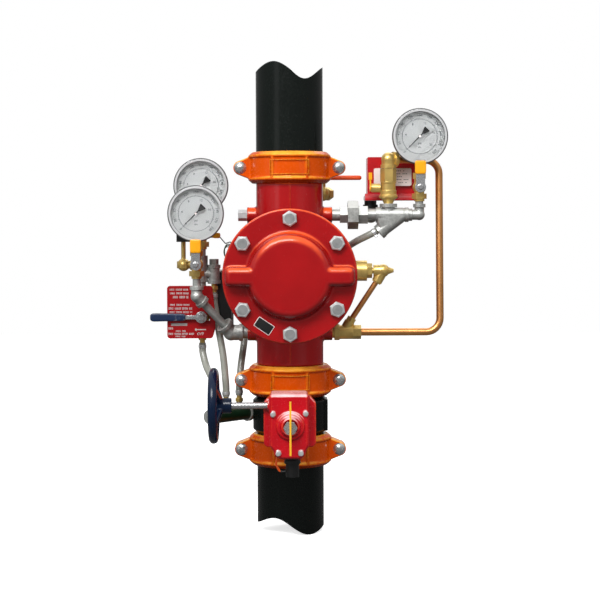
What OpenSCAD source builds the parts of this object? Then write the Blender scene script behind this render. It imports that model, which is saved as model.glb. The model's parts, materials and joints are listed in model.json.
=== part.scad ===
// Four inch deluge valve riser: a deluge valve over a gear operated butterfly valve, in
// grooved pipe, with gauges, alarm line, release line, manual station and drain trim.
// +Z runs up the riser. The origin is on the riser's axis, on the inlet pipe's clamp seat.

/* [Riser pipe] */
// Outside diameter of the riser pipe
pipe_od = 114.3; // [112:0.1:116]
// Wall of the riser pipe
pipe_wall = 6; // [4:0.5:8]
// Gap between two pipe ends inside a coupling
joint_gap = 3.2; // [2:0.1:4]
// Height of the lowest coupling above the clamp seat
inlet_joint_z = 82; // [70:1:120]
// Length of inlet pipe below the clamp seat, to the middle of its broken end
inlet_tail = 45; // [35:1:90]
// Length of outlet pipe above the top coupling, to the middle of its broken end
outlet_tail = 162; // [90:1:260]
// Height of the break line's wave
wave_amp = 14.5; // [5:0.5:18]

/* [Couplings] */
// Height of a coupling along the pipe
coupling_h = 53.4; // [53:0.2:60]
// Outside radius of the coupling housing over its gasket
coupling_r = 70.5; // [69:0.5:76]
// Distance from the riser's axis to a coupling bolt
coupling_bolt_x = 83.5; // [82:0.5:90]
// Radius of a coupling bolt
coupling_bolt_r = 6; // [5:0.5:6.5]
// Thickness of one coupling ear
ear_t = 16; // [12:0.5:20]

/* [Deluge valve] */
// Face to face length of the deluge valve
deluge_len = 358.8; // [350:0.2:380]
// Radius of the cover flange
cover_r = 111; // [108:0.5:116]
// Distance from the cover's edge to the circle of its bolts
bolt_edge = 16.5; // [14.5:0.5:18]
// Thickness of the cover flange
cover_t = 16; // [12:0.5:20]
// Distance from the riser's axis to the body's cover face
cover_face = 104; // [100:1:112]
// Height of the cover's dome above its flange
dome_h = 28; // [20:1:34]
// Distance from the cover's edge to the dome's flat top
dome_inset = 53; // [50:1:59]
// Height of the cross rib that joins the dome's sides
rib_w = 32; // [26:1:36]
// Distance of the four trim bosses above and below the valve's middle
boss_rise = 100.5; // [98:0.5:104]
// Angle that the clapper opens
clapper_open = 76; // [60:1:78]
// Angle that the latch lever turns from released to latched
latch_angle = 25; // [20:1:27]

/* [Butterfly valve] */
// Face to face length of the butterfly valve
butterfly_len = 116; // [112:0.5:124]
// Thickness of the butterfly disc at its hub
disc_t = 14; // [12:0.5:20]
// Height of the worm shaft above the disc stem
worm_rise = 30.5; // [30:0.1:31]
// Number of teeth on the whole worm wheel
worm_teeth = 24; // [24:1:24]
// Distance from the riser's axis to the handwheel's rim
wheel_x = 125; // [115:1:150]
// Outside radius of the handwheel
wheel_r = 62; // [55:1:70]
// Radius of the handwheel's rim section
rim_r = 7.5; // [6:0.5:9]

/* [Gauges] */
// Outside radius of a gauge bezel
bezel_r = 47.6; // [44:0.2:50]
// Height of a gauge's centre above the foot of its valve
gauge_rise = 110; // [108:1:118]
// Height of a gauge valve's pivot above its foot
gauge_pivot_z = 24; // [23:1:26]
// Length of a gauge valve's lever
gauge_lever_l = 43; // [38:1:48]

/* [Trim] */
// Distance from the riser's axis to the supply gauge
supply_gauge_x = 158; // [155:1:175]
// Distance from the riser's axis to the alarm gauge
alarm_gauge_x = 222; // [218:1:235]
// Distance from the riser's axis to the release line
release_x = 153; // [150:1:160]
// Distance of the release line behind the riser's axis
release_y = 42; // [40:1:50]
// Outside radius of copper tube
copper_r = 6.35; // [5:0.05:7]
// Outside radius of the quarter inch pipe
small_pipe_r = 6.85; // [6:0.05:7.5]
// Outside radius of the half inch pipe
half_pipe_r = 10.1; // [9:0.1:10.6]
// Outside radius of the drain pipe
drain_r = 12.2; // [11:0.1:13.4]
// Outside radius of a drain hose
hose_r = 6; // [5:0.5:6.5]

/* [Hidden] */
$fn = 64;
fit = 0.1;       // clearance of pieces that seat in each other
run = 0.05;      // running clearance of a shaft
pipe_r = pipe_od / 2;

// Cast iron, steel and copper colours
red = "#b3161b";
orange = "#e5660f";
black = "#15171a";
steel = "#b9bdc0";
galv = "#9fa4a3";
brass = "#b98f3c";
copper = "#b8703f";
blue = "#17325c";
yellow = "#f0a30c";
rubber = "#222222";
hose_grey = "#a5a89c";

// Heights up the riser
butterfly_z = inlet_joint_z + (joint_gap + butterfly_len) / 2;
middle_joint_z = butterfly_z + (joint_gap + butterfly_len) / 2;
valve_z = middle_joint_z + (joint_gap + deluge_len) / 2;
top_joint_z = valve_z + (joint_gap + deluge_len) / 2;
joints = [inlet_joint_z, middle_joint_z, top_joint_z];

// Grooved pipe ends
groove_from = 15.88;
groove_w = 9.53;
groove_d = 2.11;

function unit(v) = v / norm(v);
function arc(c, r, from, to, n) =
    [for (i = [0:n]) c + r * [cos(from + (to - from) * i / n), sin(from + (to - from) * i / n)]];

// Puts a child's +Z along d, from point p
module aim(p, d) {
    z = unit(d);
    a = abs(z[2]) < 0.99 ? [0, 0, 1] : [1, 0, 0];
    x = unit(cross(a, z));
    y = cross(z, x);
    multmatrix([[x[0], y[0], z[0], p[0]], [x[1], y[1], z[1], p[1]],
                [x[2], y[2], z[2], p[2]], [0, 0, 0, 1]]) children();
}
module along_y() rotate([-90, 0, 0]) children();
module along_x() rotate([0, 90, 0]) children();
module hex(af, h) cylinder(r = af / 2 / cos(30), h = h, $fn = 6);

// Centre line with a round bend of radius r at each inner point
function bend_path(p, r, n) = concat([p[0]],
    [for (i = [1:len(p) - 2])
        let (u = unit(p[i - 1] - p[i]), v = unit(p[i + 1] - p[i]), half = acos(u * v) / 2,
            centre = p[i] + unit(u + v) * r / sin(half),
            f = p[i] + u * r / tan(half) - centre, g = p[i] + v * r / tan(half) - centre)
        for (k = [0:n]) centre + r * unit(f * sin(turn_at(half, n - k, n))
            + g * sin(turn_at(half, k, n)))],
    [p[len(p) - 1]]);
function turn_at(half, k, n) = (180 - 2 * half) * k / n;

// Points on a smooth curve through a hose's route, and the tube swept along it
function spline(p, i, t) =
    let (a = p[max(i - 1, 0)], b = p[i], c = p[i + 1], d = p[min(i + 2, len(p) - 1)])
    0.5 * ((2 * b) + (c - a) * t + (2 * a - 5 * b + 4 * c - d) * t * t
        + (3 * b - a - 3 * c + d) * t * t * t);
function smooth(p, steps) =
    [for (i = [0:len(p) - 2], k = [0:steps - 1]) spline(p, i, k / steps), p[len(p) - 1]];
module hose(route, r, sides, steps) sweep(smooth(route, steps), r, sides);
module sweep(c, r, sides) {
    n = len(c);
    tan_at = [for (i = [0:n - 1]) unit(c[min(i + 1, n - 1)] - c[max(i - 1, 0)])];
    side0 = unit(cross(tan_at[0], abs(tan_at[0][1]) < 0.9 ? [0, 1, 0] : [1, 0, 0]));
    sides_at = carried(tan_at, side0, 0);
    pts = [for (i = [0:n - 1], k = [0:sides - 1])
        c[i] + r * (cos(360 * k / sides) * sides_at[i]
            + sin(360 * k / sides) * cross(tan_at[i], sides_at[i]))];
    quads = [for (i = [0:n - 2], k = [0:sides - 1]) let (j = (k + 1) % sides)
        [i * sides + k, (i + 1) * sides + k, (i + 1) * sides + j, i * sides + j]];
    polyhedron(pts, concat(quads, [[for (k = [0:sides - 1]) k]],
        [[for (k = [sides - 1:-1:0]) (n - 1) * sides + k]]));
}
// Side vectors carried along the tube without twist
function carried(t, s, i) =
    i >= len(t) ? [] : let (v = unit(s - (s * t[i]) * t[i])) concat([v], carried(t, v, i + 1));
// Outline with round corners, from its corner points in order
function rounded(p, r, n = 4) =
    [for (i = [0:len(p) - 1])
        let (a = p[(i + len(p) - 1) % len(p)], b = p[i], c = p[(i + 1) % len(p)],
            u = unit(a - b), v = unit(c - b), half = acos(u * v) / 2,
            centre = b + unit(u + v) * r / sin(half),
            f = b + u * r / tan(half) - centre, g = b + v * r / tan(half) - centre)
        for (k = [0:n]) centre + r * unit(f * (n - k) + g * k)];

// ---- Riser pipe
function wave(x, back) = x < 2.5 ? wave_amp * sin(180 * (x + 57) / 59.5)
    : -wave_amp * sin(180 * (x - 2.5) / back);
module break_cut(z, back, up) {
    xs = [for (i = [0:30]) -60 + i * 4];
    translate([0, 100, 0]) rotate([90, 0, 0]) linear_extrude(200)
        polygon(concat([[60, z + up], [-60, z + up]], [for (x = xs) [x, z + wave(x, back)]]));
}
module groove(z, up) {
    at = z + (up ? -groove_from - groove_w : groove_from);
    translate([0, 0, at]) difference() {
        cylinder(r = pipe_r + 2, h = groove_w);
        translate([0, 0, -1]) cylinder(r = pipe_r - groove_d, h = groove_w + 2);
    }
}
module riser_pipe(from, to) translate([0, 0, from]) difference() {
    cylinder(r = pipe_r, h = to - from);
    translate([0, 0, -1]) cylinder(r = pipe_r - pipe_wall, h = to - from + 2);
}
module lower_pipe() color(black) difference() {
    riser_pipe(-inlet_tail - 30, inlet_joint_z - joint_gap / 2);
    break_cut(-inlet_tail, 62, -60);
    groove(inlet_joint_z - joint_gap / 2, true);
}
module upper_pipe() color(black) difference() {
    riser_pipe(top_joint_z + joint_gap / 2, top_joint_z + outlet_tail + 30);
    break_cut(top_joint_z + outlet_tail, 46, 60);
    groove(top_joint_z + joint_gap / 2, false);
}

// ---- Couplings
key_from = joint_gap / 2 + groove_from + 0.6;
key_to = joint_gap / 2 + groove_from + groove_w - 0.6;
gasket_h = key_from - 2.5;
gasket_r = coupling_r - 6.5;
module coupling_half(side) {
    h = coupling_h / 2;
    rim = coupling_r;
    field = coupling_r - 2.5;
    difference() {
        union() {
            rotate_extrude() polygon([[50, -h], [rim - 7, -h], [rim, -h + 6], [rim, -h + 9],
                [field, -h + 11], [field, h - 11], [rim, h - 9], [rim, h - 6],
                [rim - 7, h], [50, h]]);
            for (a = [-26, 23]) rotate([0, 0, 90 * side + a])
                rotate_extrude(angle = 3) translate([60, -h + 10]) square([rim - 60, coupling_h - 20]);
            for (m = [0, 1]) mirror([m, 0, 0]) translate([0, ear_t * side, 0]) rotate([90, 0, 0])
                translate([0, 0, side > 0 ? 0 : -ear_t]) linear_extrude(ear_t) union() {
                    translate([coupling_bolt_x, 0]) circle(r = 12);
                    polygon([[60, -22], [coupling_bolt_x + 3, -11.6],
                        [coupling_bolt_x + 3, 11.6], [60, 22]]);
                }
        }
        translate([-150, side > 0 ? -299.6 : -0.4, -150]) cube([300, 300, 300]);
        translate([0, 0, -60]) cylinder(r = pipe_r - groove_d + 0.3, h = 120);
        for (s = [-1, 1]) translate([0, 0, s > 0 ? key_to : -key_to - 20])
            cylinder(r = pipe_r + 0.5, h = 20);
        translate([0, 0, -key_from]) cylinder(r = pipe_r + 0.5, h = 2 * key_from);
        translate([0, 0, -gasket_h - fit]) cylinder(r = gasket_r + fit, h = 2 * (gasket_h + fit));
        for (x = [-1, 1]) translate([x * coupling_bolt_x, -60, 0]) along_y()
            cylinder(r = coupling_bolt_r + fit, h = 120);
    }
}
module coupling_front_halves() color(orange)
    for (z = joints) translate([0, 0, z]) coupling_half(-1);
module coupling_rear_halves() color(orange)
    for (z = joints) translate([0, 0, z]) coupling_half(1);
module coupling_gaskets() color(rubber)
    for (z = joints) translate([0, 0, z - gasket_h]) difference() {
        cylinder(r = gasket_r, h = 2 * gasket_h);
        translate([0, 0, -1]) cylinder(r = pipe_r + fit, h = 2 * gasket_h + 2);
        translate([0, 0, gasket_h - 3]) cylinder(r = gasket_r - 3, h = 6);
    }
module coupling_bolts() color(steel)
    for (z = joints, x = [-1, 1]) translate([x * coupling_bolt_x, 0, z]) {
        translate([0, -ear_t - 0.1, 0]) {
            along_y() cylinder(r = coupling_bolt_r, h = 2 * ear_t + 11.5);
            intersection() {
                translate([0, 8.5, 0]) sphere(r = 13.5);
                translate([0, -6, 0]) along_y() cylinder(r = 10.4, h = 6);
            }
        }
        translate([0, ear_t + 0.1, 0]) along_y() difference() {
            hex(19, 10);
            translate([0, 0, -1]) cylinder(r = coupling_bolt_r + fit, h = 12);
        }
    }

// ---- Deluge valve
drum_r = cover_r - 13;
cover_bolt_pcr = cover_r - bolt_edge;
dome_flat_r = cover_r - dome_inset;
cavity_r = cover_bolt_pcr - 10;
seat_r = 52;
// The deck lies where the chamber is just wider than the seat
deck_z = valve_z - sqrt(pow(cavity_r, 2) - pow(seat_r + 3.2, 2));
seat_top = deck_z + 12;
bore_r = pipe_r - 6.3;
port_z = [valve_z + boss_rise, valve_z - boss_rise];
boss_x = 73;
side_port_z = top_joint_z - 43;
port_r = half_pipe_r;
// Boss behind the drum that carries the release line, and the release tee's height
carry_x = 104;
carry_y = 76;
tee_z = valve_z - 1;
bolt_angles = [90, 35, -35, -90, -145, 145];
gasket_t = 1.5;
cover_y = -cover_face - gasket_t;
hinge_x = -60;
hinge_z = seat_top + 6;
latch_x = 62;
latch_z = deck_z + 8;
rod_z = valve_z + 5;
pin_r = 4.5;
chamber_r = 17.5;
module at_bolts(y) for (a = bolt_angles)
    translate([cover_bolt_pcr * cos(a), y, valve_z + cover_bolt_pcr * sin(a)]) along_y() children();
module drum(r, front, back, round) translate([0, front, valve_z]) rotate([-90, 0, 0])
    rotate_extrude() polygon(concat([[0, 0], [r, 0]],
        arc([r - round, back - front - round], round, 0, 90, 12), [[0, back - front]]));
module valve_body() color(red) {
    difference() {
        union() {
            drum(drum_r, -cover_face, 86, 34);
            translate([0, -cover_face, valve_z]) along_y() cylinder(r = cover_r, h = 15);
            translate([0, 0, valve_z - deluge_len / 2]) cylinder(r = pipe_r, h = deluge_len);
            for (z = port_z) translate([-boss_x, 0, z]) along_x() cylinder(r = 14, h = 2 * boss_x);
            translate([60, 0, rod_z]) along_x() cylinder(r = 25, h = 50);
            translate([-carry_x, carry_y, tee_z]) along_x() cylinder(r = 9.2, h = 40);
            for (z = [valve_z + 118, valve_z - 150]) translate([-0.8, -pipe_r - 0.8, z])
                cube([1.6, 6, 32]);
            translate([0, 0, side_port_z]) rotate([0, 0, 50]) along_x()
                cylinder(r = 13, h = pipe_r + 8);
        }
        intersection() {
            drum(cavity_r, -cover_face - 1, 72, 24);
            translate([-200, -200, deck_z]) cube([400, 400, 400]);
        }
        translate([0, 0, valve_z - deluge_len / 2 - 1]) cylinder(r = bore_r - 6, h = deluge_len / 2);
        translate([0, 0, valve_z - deluge_len / 2 - 1]) cylinder(r = bore_r, h = 100);
        translate([0, 0, deck_z - 6]) cylinder(r = seat_r + fit, h = 10);
        translate([0, 0, valve_z]) cylinder(r = bore_r, h = deluge_len);
        groove(valve_z - deluge_len / 2, false);
        groove(valve_z + deluge_len / 2, true);
        for (z = port_z) translate([-boss_x - 1, 0, z]) along_x()
            cylinder(r = port_r + fit, h = 2 * boss_x + 2);
        translate([0, 0, side_port_z]) rotate([0, 0, 50]) translate([30, 0, 0]) along_x()
            cylinder(r = small_pipe_r + fit, h = 50);
        translate([60, 0, rod_z]) along_x() cylinder(r = chamber_r + fit, h = 60);
        translate([-carry_x - 1, carry_y, tee_z]) along_x()
            cylinder(r = small_pipe_r + fit, h = 14);
        at_bolts(-cover_face - 1) cylinder(r = 7.6, h = 20);
        translate([latch_x, -8.5, latch_z]) along_y() cylinder(r = 8, h = 17);
        translate([hinge_x, -52.5, hinge_z]) along_y() cylinder(r = pin_r + fit, h = 105);
        translate([latch_x, -17.5, latch_z]) along_y() cylinder(r = pin_r + fit, h = 35);
    }
    // Lugs for the clapper's pin and the latch's pin
    for (s = [-1, 1]) difference() {
        translate([hinge_x - 9, s > 0 ? 40 : -52, deck_z - 2]) cube([18, 12, 29]);
        translate([hinge_x, -60, hinge_z]) along_y() cylinder(r = pin_r + fit, h = 120);
    }
    for (s = [-1, 1]) difference() {
        translate([latch_x - 8, s > 0 ? 9 : -17, deck_z - 2]) cube([16, 8, 18]);
        translate([latch_x, -60, latch_z]) along_y() cylinder(r = pin_r + fit, h = 120);
    }
}
module valve_seat() color(brass) translate([0, 0, deck_z - 6]) difference() {
    union() {
        cylinder(r = seat_r, h = 6);
        cylinder(r = seat_r - 2, h = 18);
    }
    translate([0, 0, -1]) cylinder(r = bore_r - 8, h = 20);
    translate([0, 0, 15]) difference() {
        cylinder(r = seat_r - 4, h = 4);
        translate([0, 0, -1]) cylinder(r = bore_r - 5, h = 6);
    }
}
module valve_cover() color(red) difference() {
    translate([0, cover_y, valve_z]) rotate([90, 0, 0]) union() {
        rotate_extrude() polygon(concat([[0, 0], [cover_r, 0]],
            arc([cover_r - 2, cover_t - 2], 2, 0, 90, 3),
            [[dome_flat_r + 16, cover_t], [dome_flat_r + 13, cover_t + 3]],
            arc([dome_flat_r - 2, cover_t + dome_h - 12], 12, 10, 90, 6),
            [[0, cover_t + dome_h]]));
        for (k = [[0, 9], [1.2, 5], [3.2, 2], [6, 0.4]])
            linear_extrude(cover_t + dome_h - k[1] - 0.4) polygon(rounded(
                [for (c = [[-1, -1], [1, -1], [1, 1], [-1, 1]])
                    [c[0] * (cover_r - 5 - k[0]), c[1] * (rib_w / 2 - k[0])]], 9 - k[0]));
    }
    translate([0, cover_y + 1, valve_z]) rotate([90, 0, 0]) rotate_extrude()
        polygon([[0, 0], [dome_flat_r + 6, 0], [dome_flat_r + 4, cover_t],
            [dome_flat_r - 8, cover_t + dome_h - 9], [0, cover_t + dome_h - 9]]);
    at_bolts(cover_y - cover_t - 1) cylinder(r = 7.6, h = cover_t + 2);
}
module cover_gasket() color(rubber) difference() {
    translate([0, cover_y, valve_z]) along_y() cylinder(r = cover_r - 1, h = gasket_t);
    translate([0, cover_y - 1, valve_z]) along_y() cylinder(r = cavity_r, h = gasket_t + 2);
    at_bolts(cover_y - 1) cylinder(r = 7.6, h = gasket_t + 2);
}
module cover_bolts() color(steel) at_bolts(cover_y - cover_t) union() {
    cylinder(r = 7.5, h = cover_t + gasket_t + 13);
    translate([0, 0, -10.5]) hex(24, 10.5);
    translate([0, 0, -12]) cylinder(r = 10.5, h = 2);
}
module pivot_pins() color(steel) {
    translate([hinge_x, -52, hinge_z]) along_y() cylinder(r = pin_r, h = 104);
    translate([latch_x, -17, latch_z]) along_y() cylinder(r = pin_r, h = 34);
}
module pushrod_chamber() color(brass) translate([85, 0, rod_z]) along_x() difference() {
    union() {
        cylinder(r = chamber_r, h = 47);
        translate([0, 0, 47]) hex(22, 9);
    }
    translate([0, 0, -1]) cylinder(r = 5 + run, h = 10);
    translate([0, 0, 7]) cylinder(r = 12.5 + run, h = 36);
    translate([0, 0, 42]) cylinder(r = 5.2, h = 20);
}
module port_plug() color(steel) translate([-boss_x, 0, port_z[0]]) rotate([0, -90, 0]) {
    translate([0, 0, -12]) cylinder(r = port_r, h = 12);
    hex(17, 15);
}
module clapper() color(brass) difference() {
    union() {
        translate([0, 0, seat_top + 3.3]) cylinder(r = 50, h = 5.2);
        translate([0, 0, seat_top + 8]) cylinder(r1 = 26, r2 = 12, h = 8);
        for (s = [-1, 1]) {
            translate([hinge_x, s > 0 ? 27 : -39.5, hinge_z]) along_y() cylinder(r = 7.5, h = 12.5);
            translate([hinge_x, s > 0 ? 27 : -39.5, hinge_z - 2]) cube([50, 12.5, 7.5]);
        }
        for (s = [-1, 1]) translate([-30, s * 14 - 3, seat_top + 8]) cube([60, 6, 6]);
    }
    translate([hinge_x, -60, hinge_z]) along_y() cylinder(r = pin_r + run, h = 120);
}
module clapper_seal() color(rubber) translate([0, 0, seat_top + 0.3]) difference() {
    cylinder(r = 49, h = 3);
    translate([0, 0, -1]) cylinder(r = 36, h = 5);
}
module latch_lever() color(steel) difference() {
    union() {
        translate([latch_x, -8, latch_z]) along_y() cylinder(r = 7, h = 16);
        translate([latch_x - 5, -8, latch_z]) cube([10, 16, rod_z - latch_z + 8]);
        translate([latch_x, 8, latch_z]) rotate([90, 0, 0]) linear_extrude(16)
            polygon([[-9.5, 19], [0, 15], [0, 34], [-7, 28], [-9.5, 25]]);
    }
    translate([latch_x, -60, latch_z]) along_y() cylinder(r = pin_r + run, h = 120);
}
module pushrod() color(brass) translate([latch_x + 5.5, 0, rod_z]) along_x() {
    cylinder(r = 5, h = 117 - latch_x - 5.5);
    translate([0, 0, 117 - latch_x - 5.5]) cylinder(r = 12.5, h = 9);
}

// ---- Butterfly valve and its gear operator
stem_r = 8;
gear_y = -136;
housing_front = -158;
housing_back = -106;
worm_z = butterfly_z + worm_rise;
worm_r = 8;
wheel_pitch_r = worm_rise - worm_r;
worm_lead = 2 * PI * wheel_pitch_r / worm_teeth;
module butterfly_body() color(black) difference() {
    union() {
        translate([0, 0, butterfly_z - butterfly_len / 2]) cylinder(r = pipe_r, h = butterfly_len);
        translate([0, 0, butterfly_z]) rotate_extrude() polygon([[50, -31], [pipe_r, -31],
            [pipe_r + 7, -25], [pipe_r + 7, 25], [pipe_r, 31], [50, 31]]);
        translate([0, housing_back + 8, butterfly_z]) along_y() cylinder(r = 22, h = 60);
        translate([0, 40, butterfly_z]) along_y() cylinder(r = 19, h = 34);
        translate([-33, housing_back, butterfly_z - 33]) cube([66, 8, 66]);
        translate([48, -26, butterfly_z - 27]) cube([16, 44, 54]);
    }
    translate([0, 0, butterfly_z - butterfly_len / 2 - 1]) cylinder(r = bore_r, h = butterfly_len + 2);
    groove(butterfly_z - butterfly_len / 2, false);
    groove(butterfly_z + butterfly_len / 2, true);
    translate([0, housing_back - 1, butterfly_z]) along_y()
        cylinder(r = stem_r + run, h = 70 - housing_back + 1);
}
module butterfly_disc() color(black) difference() {
    translate([0, 0, butterfly_z]) union() {
        intersection() {
            sphere(r = bore_r - 0.7);
            translate([-4, -60, -60]) cube([8, 120, 120]);
        }
        intersection() {
            sphere(r = bore_r - 0.7);
            translate([0, -60, 0]) along_y() cylinder(r = disc_t / 2 + 6, h = 120);
            translate([-disc_t / 2 - 4, -60, -60]) cube([disc_t + 8, 120, 120]);
        }
    }
    translate([0, -60, butterfly_z]) along_y() cylinder(r = stem_r + 0.02, h = 120);
}
module disc_stem() color(steel) {
    difference() {
        union() {
            translate([0, -184, butterfly_z]) along_y() cylinder(r = stem_r, h = 252);
            translate([0, gear_y - 4, butterfly_z]) along_y() linear_extrude(8) worm_wheel();
            translate([0, gear_y - 10, butterfly_z]) along_y() cylinder(r = 13, h = 20);
        }
        translate([-20, -194, butterfly_z + 5.5]) cube([40, 24, 10]);
    }
}
// Worm wheel: straight teeth, thin enough to leave room for the thread's lean
module worm_wheel() {
    tooth = 360 / worm_teeth;
    circle(r = wheel_pitch_r - 2.4);
    for (i = [0:worm_teeth - 1]) rotate((i + 0.5) * tooth)
        polygon([[wheel_pitch_r - 4, -1.5], [wheel_pitch_r - 2.4, -1.45], [wheel_pitch_r + 1.5, -0.6],
            [wheel_pitch_r + 1.5, 0.6], [wheel_pitch_r - 2.4, 1.45], [wheel_pitch_r - 4, 1.5]]);
}
module worm_thread(turns, seg) {
    n = turns * seg;
    root = worm_r - 2.6;
    tip = worm_r + 1.7;
    pts = [for (i = [0:n]) let (a = 360 * i / seg, x = worm_lead * (i / seg - turns / 2))
        for (q = [[-1.4, root], [-0.6, tip], [0.6, tip], [1.4, root]])
            [x + q[0], q[1] * cos(a), q[1] * sin(a)]];
    quads = [for (i = [0:n - 1], k = [0:3]) let (j = (k + 1) % 4)
        [4 * i + k, 4 * i + j, 4 * i + 4 + j, 4 * i + 4 + k]];
    polyhedron(pts, concat(quads, [[3, 2, 1, 0]], [[4 * n, 4 * n + 1, 4 * n + 2, 4 * n + 3]]));
}
module worm_shaft() color(steel) translate([0, gear_y, worm_z]) {
    translate([-wheel_x + 6, 0, 0]) along_x() cylinder(r = 5.2, h = wheel_x + 20);
    translate([-15, 0, 0]) along_x() cylinder(r = worm_r - 2.2, h = 30);
    translate([worm_lead / 4, 0, 0]) worm_thread(4, 16);
}
module position_flag() color(yellow) translate([0, 0, butterfly_z]) difference() {
    union() {
        translate([0, -190, 0]) along_y() hex(19.5, 8);
        translate([-1.6, -200, -43]) cube([3.2, 13, 86]);
    }
    translate([0, -186, 0]) along_y() cylinder(r = stem_r + fit, h = 20);
}
// Outline of the gear case and its cover, and the wider rear of the case
function case_outline(in) = let (top = butterfly_len / 2 - 6.5, low = 4 - butterfly_len / 2)
    rounded([[-34 + in, butterfly_z + top - in], [30 - in, butterfly_z + top - in],
        [30 - in, butterfly_z - 32], [18 - in, butterfly_z + low + in],
        [-18 + in, butterfly_z + low + in], [-34 + in, butterfly_z - 32]], 6 - in);
screw_at = [[-28.5, 19.5], [25, 20.5], [-20, -44], [17, -44]];
module case_face(in) {
    polygon(case_outline(in));
    for (i = [2, 3]) translate([screw_at[i][0], butterfly_z + screw_at[i][1]]) circle(r = 7 - in);
}
module gear_housing() color(red) difference() {
    union() {
        translate([0, housing_back, 0]) rotate([90, 0, 0])
            linear_extrude(housing_back - housing_front) case_face(0);
        translate([0, housing_back, 0]) rotate([90, 0, 0]) linear_extrude(23)
            polygon(rounded([[-44, butterfly_z + 34], [-33, butterfly_z + 46],
                [31, butterfly_z + 46], [42, butterfly_z + 34], [42, butterfly_z - 39],
                [-44, butterfly_z - 39]], 8));
        translate([-37.5, gear_y, worm_z]) along_x() cylinder(r = 9, h = 6);
    }
    translate([0, housing_front - 1, butterfly_z]) along_y() cylinder(r = wheel_pitch_r + 4, h = 36);
    translate([-24, gear_y, worm_z]) along_x() cylinder(r = worm_r + 3.2, h = 46);
    translate([-60, gear_y, worm_z]) along_x() cylinder(r = 5.2 + run, h = 87);
    translate([0, housing_front, butterfly_z]) along_y() cylinder(r = stem_r + run, h = 60);
    for (p = screw_at) translate([p[0], housing_front - 1, butterfly_z + p[1]]) along_y()
        cylinder(r = 2.6, h = 14);
}
module gear_cover() color(red) {
    difference() {
        union() {
            for (k = [[0, 4], [1.2, 5.8], [3, 7]]) translate([0, housing_front - 0.1, 0])
                rotate([90, 0, 0]) linear_extrude(k[1]) case_face(k[0]);
            translate([0, housing_front - 7, butterfly_z]) rotate([90, 0, 0]) rotate_extrude()
                polygon([[0, -1], [23.5, -1], [22.5, 4], [21, 5.5], [17, 6], [15.5, 12], [14, 14],
                    [11.5, 14], [11, 9.5], [0, 9.5]]);
        }
        translate([0, -200, butterfly_z]) along_y() cylinder(r = stem_r + run, h = 50);
        for (p = screw_at) translate([p[0], -170, butterfly_z + p[1]]) along_y()
            cylinder(r = 2.6, h = 14);
    }
    for (p = screw_at) translate([p[0], -169.2, butterfly_z + p[1]]) along_y() {
        cylinder(r = 4.2, h = 4);
        cylinder(r = 2.5, h = 22);
    }
}
module switch_conduit() {
    color(black) translate([3, gear_y + 2, butterfly_z - 87]) difference() {
        union() {
            cylinder(r = 11, h = 33);
            translate([0, 0, 22]) cylinder(r = 13.5, h = 6);
        }
        translate([0, 0, -1]) cylinder(r = 7, h = 30);
    }
    color(orange) sweep(bend_path([[-22, gear_y, butterfly_z - 54.9], [-24, gear_y, butterfly_z - 66],
        [-18, gear_y, butterfly_z - 78], [-8.1, gear_y, butterfly_z - 78]], 5, 4), 1.8, 8);
}
module handwheel() color(blue) translate([-wheel_x, gear_y, worm_z]) along_x() difference() {
    union() {
        rotate_extrude() translate([wheel_r - rim_r, 0]) circle(r = rim_r);
        translate([0, 0, 5]) cylinder(r = 12.5, h = 24);
        for (a = [45:90:315]) rotate([0, 0, a]) hull() {
            translate([9, -6, 6]) cube([1, 12, 9]);
            translate([wheel_r - rim_r - 3, -4.5, -3]) cube([1, 9, 6]);
        }
    }
    translate([0, 0, 6]) cylinder(r = 5.2 + fit, h = 30);
}

// ---- Gauges. Each gauge stands on its own valve, whose foot is the pipe's end.
supply_y = -30;
supply_foot = [-supply_gauge_x, supply_y, valve_z + 103.5 - gauge_rise];
release_foot = [-release_x, release_y, valve_z + 152 - gauge_rise];
alarm_foot = [alarm_gauge_x, 0, valve_z + 233.5 - gauge_rise];
feet = [supply_foot, release_foot, alarm_foot];
face_y = -11;
back_y = 8;
module at_gauge(f) translate(f + [0, 0, gauge_rise]) children();
module gauge_cases() color(steel) for (f = feet) at_gauge(f) {
    rotate([90, 0, 0]) rotate_extrude() polygon([[0, -back_y], [bezel_r - 5, -back_y],
        [bezel_r - 3, 2 - back_y], [bezel_r - 3, -face_y - 1], [bezel_r, -face_y + 1],
        [bezel_r, -face_y + 6], [bezel_r - 2, -face_y + 8], [bezel_r - 5.5, -face_y + 8],
        [bezel_r - 5.5, -face_y + 5.1], [bezel_r - 3.5, -face_y + 5.1],
        [bezel_r - 3.5, -face_y + 2.9], [bezel_r - 5, -face_y + 2.9], [bezel_r - 5, 3 - back_y],
        [0, 3 - back_y]]);
    translate([-7, -7, -bezel_r - 12]) cube([14, 14, 13]);
    translate([0, 0, -bezel_r - 24]) cylinder(r = 6, h = 13);
    translate([0, 0, -bezel_r - 1]) cylinder(r = 8, h = 6);
}
module gauge_dials() color("white") for (f = feet) at_gauge(f)
    translate([0, face_y + 3, 0]) along_y() difference() {
        cylinder(r = bezel_r - 5.1, h = 1.5);
        translate([0, 0, -1]) cylinder(r = 1.6, h = 4);
    }
module gauge_lenses() color("lightgrey") for (f = feet) at_gauge(f)
    translate([0, face_y - 5, 0]) along_y() cylinder(r = bezel_r - 3.6, h = 2);
module pointer(f) color(black) at_gauge(f) {
    translate([0, face_y - 1.5, 0]) rotate([90, 0, 0]) linear_extrude(1) union() {
        circle(r = 4.5);
        rotate(225) polygon([[0, -2.2], [34, -0.5], [34, 0.5], [0, 2.2]]);
        rotate(45) polygon([[0, -2.5], [17, -5], [17, 5], [0, 2.5]]);
    }
    translate([0, face_y - 3, 0]) along_y() cylinder(r = 1.5, h = 12);
}
module supply_pointer() pointer(supply_foot);
module release_pointer() pointer(release_foot);
module alarm_pointer() pointer(alarm_foot);
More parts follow.
